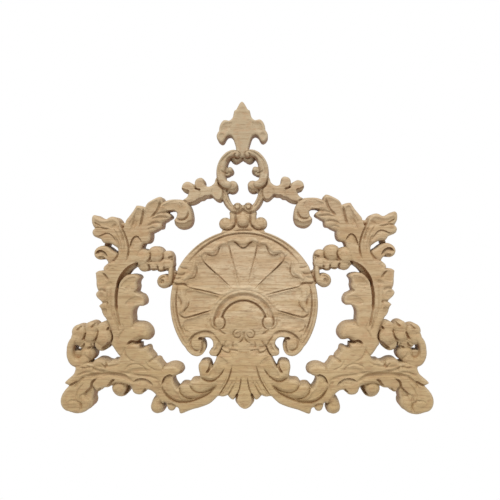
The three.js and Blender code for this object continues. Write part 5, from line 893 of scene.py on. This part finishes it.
def front_surface():
    """Vertices in drawing millimetres and triangles of the carved front, open along its outline."""
    xs, zs, height, within = grid_of_carving()
    solid = within > 0
    node = np.full(solid.shape, -1)
    node[solid] = np.arange(solid.sum())
    j, i = np.nonzero(solid)
    places = [np.stack([xs[i], zs[j], height[j, i]], axis=1)]
    count = len(j)

    identities = []
    for axis in (1, 0):
        crossed, j, i, share, first_solid = crossings(within, solid, axis)
        identity = np.full(crossed.shape, -1)
        identity[j, i] = count + np.arange(len(j))
        identities.append(identity)
        count += len(j)
        x = xs[i] + (share * STEP if axis == 1 else 0)
        z = zs[j] + (share * STEP if axis == 0 else 0)
        inner_j = np.where(first_solid, j, j + 1 - axis)
        inner_i = np.where(first_solid, i, i + axis)
        rim, depth_inside = carve(np.abs(x), z, RIM_TOLERANCE)
        inner = height[inner_j, inner_i]
        rim = np.where(depth_inside > -RIM_TOLERANCE, np.minimum(rim, inner), inner)
        places.append(np.stack([x, z, rim], axis=1))

    triangles = cells_to_triangles(solid, node, identities[0], identities[1], height)
    places = np.concatenate(places)
    return places, triangles, height, solid


def to_metres(places, top):
    """Turns drawing millimetres into the frame's metres, inside the box of the solid."""
    scale = (node_high[0] - node_low[0] - 2 * BOX_MARGIN) / np.ptp(places[:, 0])
    depth = (node_high[1] - node_low[1] - BOX_MARGIN) / top
    across = (node_high[0] + node_low[0]) / 2 + places[:, 0] * scale
    heights = np.minimum(places[:, 2], top) * depth
    return np.stack([across, node_high[1] - heights, places[:, 1] * scale], axis=1), scale


def reduced(mesh, target):
    """The same surface with fewer triangles, kept dense where it bends."""
    carrier = bpy.data.objects.new("carrier", mesh)
    bpy.context.scene.collection.objects.link(carrier)
    decimate = carrier.modifiers.new("thin out", "DECIMATE")
    decimate.ratio = min(1, target / len(mesh.polygons))
    view = bpy.context.evaluated_depsgraph_get()
    result = bpy.data.meshes.new_from_object(carrier.evaluated_get(view))
    bpy.data.objects.remove(carrier)
    bpy.data.meshes.remove(mesh)
    return result


def close_back(mesh):
    """Drops walls from the rim to the flat back and closes the back."""
    shape = bmesh.new()
    shape.from_mesh(mesh)
    rim = [edge for edge in shape.edges if edge.is_boundary]
    grown = bmesh.ops.extrude_edge_only(shape, edges=rim)["geom"]
    for vertex in (part for part in grown if isinstance(part, bmesh.types.BMVert)):
        vertex.co.y = node_high[1]
    foot = [part for part in grown if isinstance(part, bmesh.types.BMEdge) and part.is_boundary]
    bmesh.ops.triangle_fill(shape, edges=foot, use_beauty=True, normal=(0, 1, 0))
    bmesh.ops.triangulate(shape, faces=shape.faces[:])
    bmesh.ops.recalc_face_normals(shape, faces=shape.faces[:])
    shape.to_mesh(mesh)
    shape.free()


def sampled(values, x, z):
    """Bilinear reading of a grid of values at free places."""
    u = np.clip((x + SHEET_RIGHT) / STEP, 0, values.shape[1] - 1 - INSIDE_CELL)
    v = np.clip((z - SHEET_BOTTOM) / STEP, 0, values.shape[0] - 1 - INSIDE_CELL)
    i = u.astype(int)
    j = v.astype(int)
    s = u - i
    t = v - j
    low = values[j, i] * (1 - s) + values[j, i + 1] * s
    high = values[j + 1, i] * (1 - s) + values[j + 1, i + 1] * s
    return low * (1 - t) + high * t


def sunk_below(height, solid, reach):
    """How far each node lies below the average around it, where open air counts as low."""
    carved = np.where(solid, height, 0)
    return np.where(solid, blurred(carved, reach) - height, 0)


def build_carving():
    """The carved piece as one closed body, with how deep each point lies in its surroundings."""
    places, triangles, height, solid = front_surface()
    top = places[:, 2].max()
    places[:, 2] += hand_marks(places[:, 0], places[:, 1])
    vertices, scale = to_metres(places, top)
    mesh = bpy.data.meshes.new("carving")
    mesh.vertices.add(len(vertices))
    mesh.vertices.foreach_set("co", vertices.ravel())
    mesh.loops.add(triangles.size)
    mesh.loops.foreach_set("vertex_index", triangles.ravel())
    mesh.polygons.add(len(triangles))
    mesh.polygons.foreach_set("loop_start", np.arange(0, triangles.size, 3))
    mesh.update(calc_edges=True)
    mesh.validate()
    mesh = reduced(mesh, FRONT_TRIANGLES)
    close_back(mesh)

    count = len(mesh.vertices)
    spots = np.empty(count * 3)
    mesh.vertices.foreach_get("co", spots)
    spots = spots.reshape(count, 3)
    x = spots[:, 0] / scale
    z = spots[:, 2] / scale
    on_back = spots[:, 1] > node_high[1] - BACK_TOLERANCE
    # These depths below the surroundings set the painted shade in grooves and recesses; the flat back is
    # given its own painted shade.
    for name, reach, most in (("groove", GROOVE_SHADE_REACH, GROOVE_SHADE_DEPTH),
                              ("recess_shade", RECESS_SHADE_REACH, RECESS_SHADE_DEPTH)):
        sunk = sampled(sunk_below(height, solid, round(reach / STEP)), x, z) / most
        sunk[on_back] = BACK_SHADE
        layer = mesh.attributes.new(name, "FLOAT", "POINT")
        layer.data.foreach_set("value", np.clip(sunk, -1, 1).astype(np.float32))
    mesh.shade_smooth()
    mesh.set_sharp_from_angle(angle=math.radians(SHARP_ANGLE))
    return mesh


class Nodes:
    """Shader nodes of one material, placed by short calls."""

    def __init__(self, material):
        self.tree = material.node_tree
        self.tree.nodes.clear()

    def add(self, kind, settings=None, inputs=None):
        made = self.tree.nodes.new(kind)
        for name, value in (settings or {}).items():
            setattr(made, name, value)
        for name, value in (inputs or {}).items():
            if isinstance(value, bpy.types.NodeSocket):
                self.tree.links.new(value, made.inputs[name])
            else:
                made.inputs[name].default_value = value
        return made

    def math(self, operation, first, second=0.0):
        made = self.add("ShaderNodeMath", {"operation": operation}, {0: first, 1: second})
        return made.outputs[0]

    def fit(self, value, low, high, new_low=0.0, new_high=1.0):
        made = self.add("ShaderNodeMapRange", {"clamp": True}, {
            "Value": value, "From Min": low, "From Max": high, "To Min": new_low, "To Max": new_high})
        return made.outputs["Result"]

    def noise(self, coordinates, stretch, scale, detail=3.0, roughness=0.5, distortion=0.0):
        squeezed = self.add("ShaderNodeVectorMath", {"operation": "MULTIPLY"}, {0: coordinates, 1: stretch})
        made = self.add("ShaderNodeTexNoise", {}, {
            "Vector": squeezed.outputs[0], "Scale": scale, "Detail": detail,
            "Roughness": roughness, "Distortion": distortion})
        return made.outputs["Fac"]

    def blend(self, share, first, second, mode="MIX"):
        made = self.add("ShaderNodeMix", {"data_type": "RGBA", "blend_type": mode},
                        {0: share, 6: first, 7: second})
        return made.outputs[2]


def srgb(red, green, blue):
    """Linear colour of an sRGB value given as 0 to 255."""
    steps = [value / 255 for value in (red, green, blue)]
    return (*(s / 12.92 if s <= 0.04045 else ((s + 0.055) / 1.055) ** 2.4 for s in steps), 1)


def wood_material():
    """Pale unfinished carving wood: level grain, glued boards and fine pores, with painted shade in
    recesses, grooves and undersides.
    """
    material = bpy.data.materials.new("wood")
    material.use_nodes = True
    nodes = Nodes(material)
    spot = nodes.add("ShaderNodeTexCoord")
    place = spot.outputs["Object"]
    facing = nodes.add("ShaderNodeSeparateXYZ", {}, {0: spot.outputs["Normal"]}).outputs
    height = nodes.add("ShaderNodeSeparateXYZ", {}, {0: place}).outputs["Z"]
    # Depth below the surroundings, which sets the painted shade in grooves and recesses and the paler
    # ridges.
    groove = nodes.add("ShaderNodeAttribute", {"attribute_name": "groove"}).outputs["Fac"]
    recess_shade = nodes.add("ShaderNodeAttribute", {"attribute_name": "recess_shade"}).outputs["Fac"]

    # Every glued board has its own grain and tone.
    boards = nodes.add("ShaderNodeValToRGB", {}, {"Fac": nodes.fit(height, BOARDS_FROM, BOARDS_TO)})
    ramp = boards.color_ramp
    ramp.interpolation = "CONSTANT"
    for index, (start, grey) in enumerate(zip(BOARD_STARTS, BOARD_GREYS)):
        element = ramp.elements[index] if index < 2 else ramp.elements.new(start)
        element.position = start
        element.color = (grey, grey, grey, 1)
    board = boards.outputs["Color"]
    lift = nodes.math("MULTIPLY", board, 0.4)
    shift = nodes.add("ShaderNodeCombineXYZ", {}, {0: board, 1: lift}).outputs[0]
    moved = nodes.add("ShaderNodeVectorMath", {"operation": "ADD"}, {0: place, 1: shift})
    grain_place = moved.outputs[0]

    bands = nodes.noise(grain_place, (0.12, 1, 1), 95, 4, 0.55, 0.6)
    streaks = nodes.noise(grain_place, (0.03, 1, 1), 520, 5, 0.7, 0.3)
    pores = nodes.noise(grain_place, (0.06, 1, 1), 1500, 2, 0.6)
    clouds = nodes.noise(grain_place, (0.5, 1, 1), 14, 2, 0.5)
    mottle = nodes.noise(grain_place, (0.6, 1, 1), 210, 3, 0.6)

    tone = nodes.blend(nodes.fit(bands, 0.36, 0.62), srgb(*WOOD_WARM), srgb(*WOOD_PALE))
    tone = nodes.blend(nodes.fit(clouds, 0.35, 0.7, 0, 0.55), tone, srgb(*WOOD_PINK))
    # Yellower towards the bottom, which also brightens the lower part as painted light.
    tone = nodes.blend(nodes.fit(height, 0.04, -0.14, 0, 0.5), tone, srgb(*WOOD_YELLOW_AND_PAINTED_LIGHT))
    tone = nodes.blend(nodes.fit(height, 0.09, 0.22, 0, 0.75), tone, srgb(*WOOD_GREY))
    apart = nodes.add("ShaderNodeVectorMath", {"operation": "DISTANCE"}, {0: place, 1: PALE_SPOT})
    reach = apart.outputs["Value"]
    pale = nodes.math("MULTIPLY", nodes.fit(reach, 0.11, 0.04, 0, 0.75), nodes.fit(bands, 0.35, 0.6, 0.2, 1))
    tone = nodes.blend(pale, tone, srgb(*WOOD_BLEACHED))
    tone = nodes.blend(nodes.fit(reach, 0.14, 0.2, 0, 0.4), tone, srgb(*WOOD_OUTER))
    tone = nodes.blend(nodes.fit(mottle, 0.5, 0.68, 0, 0.45), tone, srgb(*WOOD_MOTTLE))
    streak_share = nodes.fit(height, 0.14, 0.2, 0.63, 0.38)
    tone = nodes.blend(nodes.fit(streaks, 0.48, 0.64, 0, streak_share), tone, srgb(*WOOD_STREAK))
    tone = nodes.blend(nodes.fit(pores, 0.56, 0.7, 0, 0.68), tone, srgb(*WOOD_PORE))
    # Paler where ridges stand above their surroundings.
    tone = nodes.blend(nodes.fit(groove, -0.2, -1, 0, 0.2), tone, srgb(*WOOD_RIDGE_PALE))
    # Painted shade in recesses, spread wider than the shade in the grooves.
    tone = nodes.blend(nodes.fit(recess_shade, 0.1, 1, 0, 0.48), tone, srgb(*WOOD_SHADE))
    # Painted shade in grooves.
    tone = nodes.blend(nodes.fit(groove, 0.12, 1, 0, 0.62), tone, srgb(*WOOD_GROOVE_SHADE))

    # Painted shade on walls and undersides: full where they face down, little where they face up.
    side = nodes.fit(nodes.math("ABSOLUTE", facing["Y"]), 0.55, 0.15, 0, 0.75)
    side = nodes.math("MULTIPLY", side, nodes.fit(facing["Z"], 0.35, -0.2, 0.1, 1))
    tone = nodes.blend(side, tone, srgb(*WOOD_UNDERSIDE_SHADE))

    roughness = nodes.fit(streaks, 0.3, 0.75, 0.52, 0.72)
    relief = nodes.math("ADD", nodes.math("MULTIPLY", streaks, 0.6), nodes.math("MULTIPLY", pores, -0.4))
    bump = nodes.add("ShaderNodeBump", {}, {"Strength": 0.35, "Distance": 0.0004, "Height": relief})
    shader = nodes.add("ShaderNodeBsdfPrincipled", {}, {
        "Base Color": tone, "Roughness": roughness, "Normal": bump.outputs["Normal"],
        "Specular IOR Level": 0.32})
    nodes.add("ShaderNodeOutputMaterial", {}, {"Surface": shader.outputs["BSDF"]})
    return material


def floor_material():
    """A plain pale surface with a trace of unevenness."""
    material = bpy.data.materials.new("floor")
    material.use_nodes = True
    nodes = Nodes(material)
    place = nodes.add("ShaderNodeTexCoord").outputs["Object"]
    cloud = nodes.noise(place, (1, 1, 1), 2.5)
    pale = srgb(*FLOOR_TONE)
    darker = [0.94 * channel for channel in pale[:3]] + [1]
    tone = nodes.blend(nodes.fit(cloud, 0.3, 0.7, 0, 0.25), pale, darker)
    shader = nodes.add("ShaderNodeBsdfPrincipled", {}, {"Base Color": tone, "Roughness": 0.8})
    nodes.add("ShaderNodeOutputMaterial", {}, {"Surface": shader.outputs["BSDF"]})
    return material


def add_floor():
    """A plain pale floor, well below the hung piece."""
    mesh = bpy.data.meshes.new("floor")
    half = FLOOR_SIZE / 2
    corners = [(-half, -half, 0), (half, -half, 0), (half, half, 0), (-half, half, 0)]
    mesh.from_pydata(corners, [], [(0, 1, 2, 3)])
    floor = bpy.data.objects.new("floor", mesh)
    floor.location.z = FLOOR_LEVEL
    mesh.materials.append(floor_material())
    bpy.context.scene.collection.objects.link(floor)


def add_light(name, place, target, size, power, colour):
    """A rectangular lamp at a place, turned to its target."""
    data = bpy.data.lights.new(name, "AREA")
    data.shape = "RECTANGLE"
    data.size, data.size_y = size
    data.energy = power
    data.color = colour
    light = bpy.data.objects.new(name, data)
    bpy.context.scene.collection.objects.link(light)
    aim = np.array(target) - np.array(place)
    light.matrix_world = Matrix.Translation(place) @ turned_to(aim)


def turned_to(direction):
    """Rotation that turns -Z along the direction and keeps Y upwards."""
    back = -direction / np.linalg.norm(direction)
    right = np.cross((0, 0, 1), back)
    right = right / np.linalg.norm(right)
    up = np.cross(back, right)
    return Matrix([[right[k], up[k], back[k], 0] for k in range(3)] + [[0, 0, 0, 1]])


def add_camera():
    """The photograph's view: nearly straight on, a little from the right, tipped by half a degree."""
    roll = np.array([[math.cos(ROLL), 0, -math.sin(ROLL)], [0, 1, 0], [math.sin(ROLL), 0, math.cos(ROLL)]])
    yaw = np.array([[math.cos(YAW), -math.sin(YAW), 0], [math.sin(YAW), math.cos(YAW), 0], [0, 0, 1]])
    axes = yaw @ roll
    eye = axes.T @ np.array([-SHIFT_RIGHT, -FOCAL_PIXELS, -SHIFT_UP]) * PIXEL
    eye[1] += DATUM
    data = bpy.data.cameras.new("camera")
    data.sensor_width = SENSOR
    data.lens = SENSOR * FOCAL_PIXELS / IMAGE_PIXELS
    camera = bpy.data.objects.new("camera", data)
    turn = [[axes[0][k], axes[2][k], -axes[1][k], eye[k]] for k in range(3)]
    camera.matrix_world = Matrix(turn + [[0, 0, 0, 1]])
    bpy.context.scene.collection.objects.link(camera)
    bpy.context.scene.camera = camera


def light_scene():
    """White surroundings, a soft key from above and a weak fill from the right."""
    world = bpy.data.worlds.new("studio")
    world.use_nodes = True
    background = world.node_tree.nodes["Background"]
    background.inputs["Color"].default_value = (1, 1, 1, 1)
    background.inputs["Strength"].default_value = WORLD_STRENGTH
    bpy.context.scene.world = world
    bpy.context.scene.view_settings.view_transform = "Standard"
    add_light("key", (-0.27, -1.44, 2.15), (0, 0, 0.05), (1.8, 1.08), KEY_POWER, (1, 0.98, 0.95))
    add_light("fill", (0.9, -1.1, 0.25), (0, 0, 0.03), (0.8, 0.8), FILL_POWER, (1, 0.99, 0.97))


piece = bpy.data.objects.new("carving", build_carving())
bpy.context.scene.collection.objects.link(piece)
piece.data.materials.clear()
piece.data.materials.append(wood_material())
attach(piece, "root")
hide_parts("carved_ornament")
add_floor()
light_scene()
add_camera()
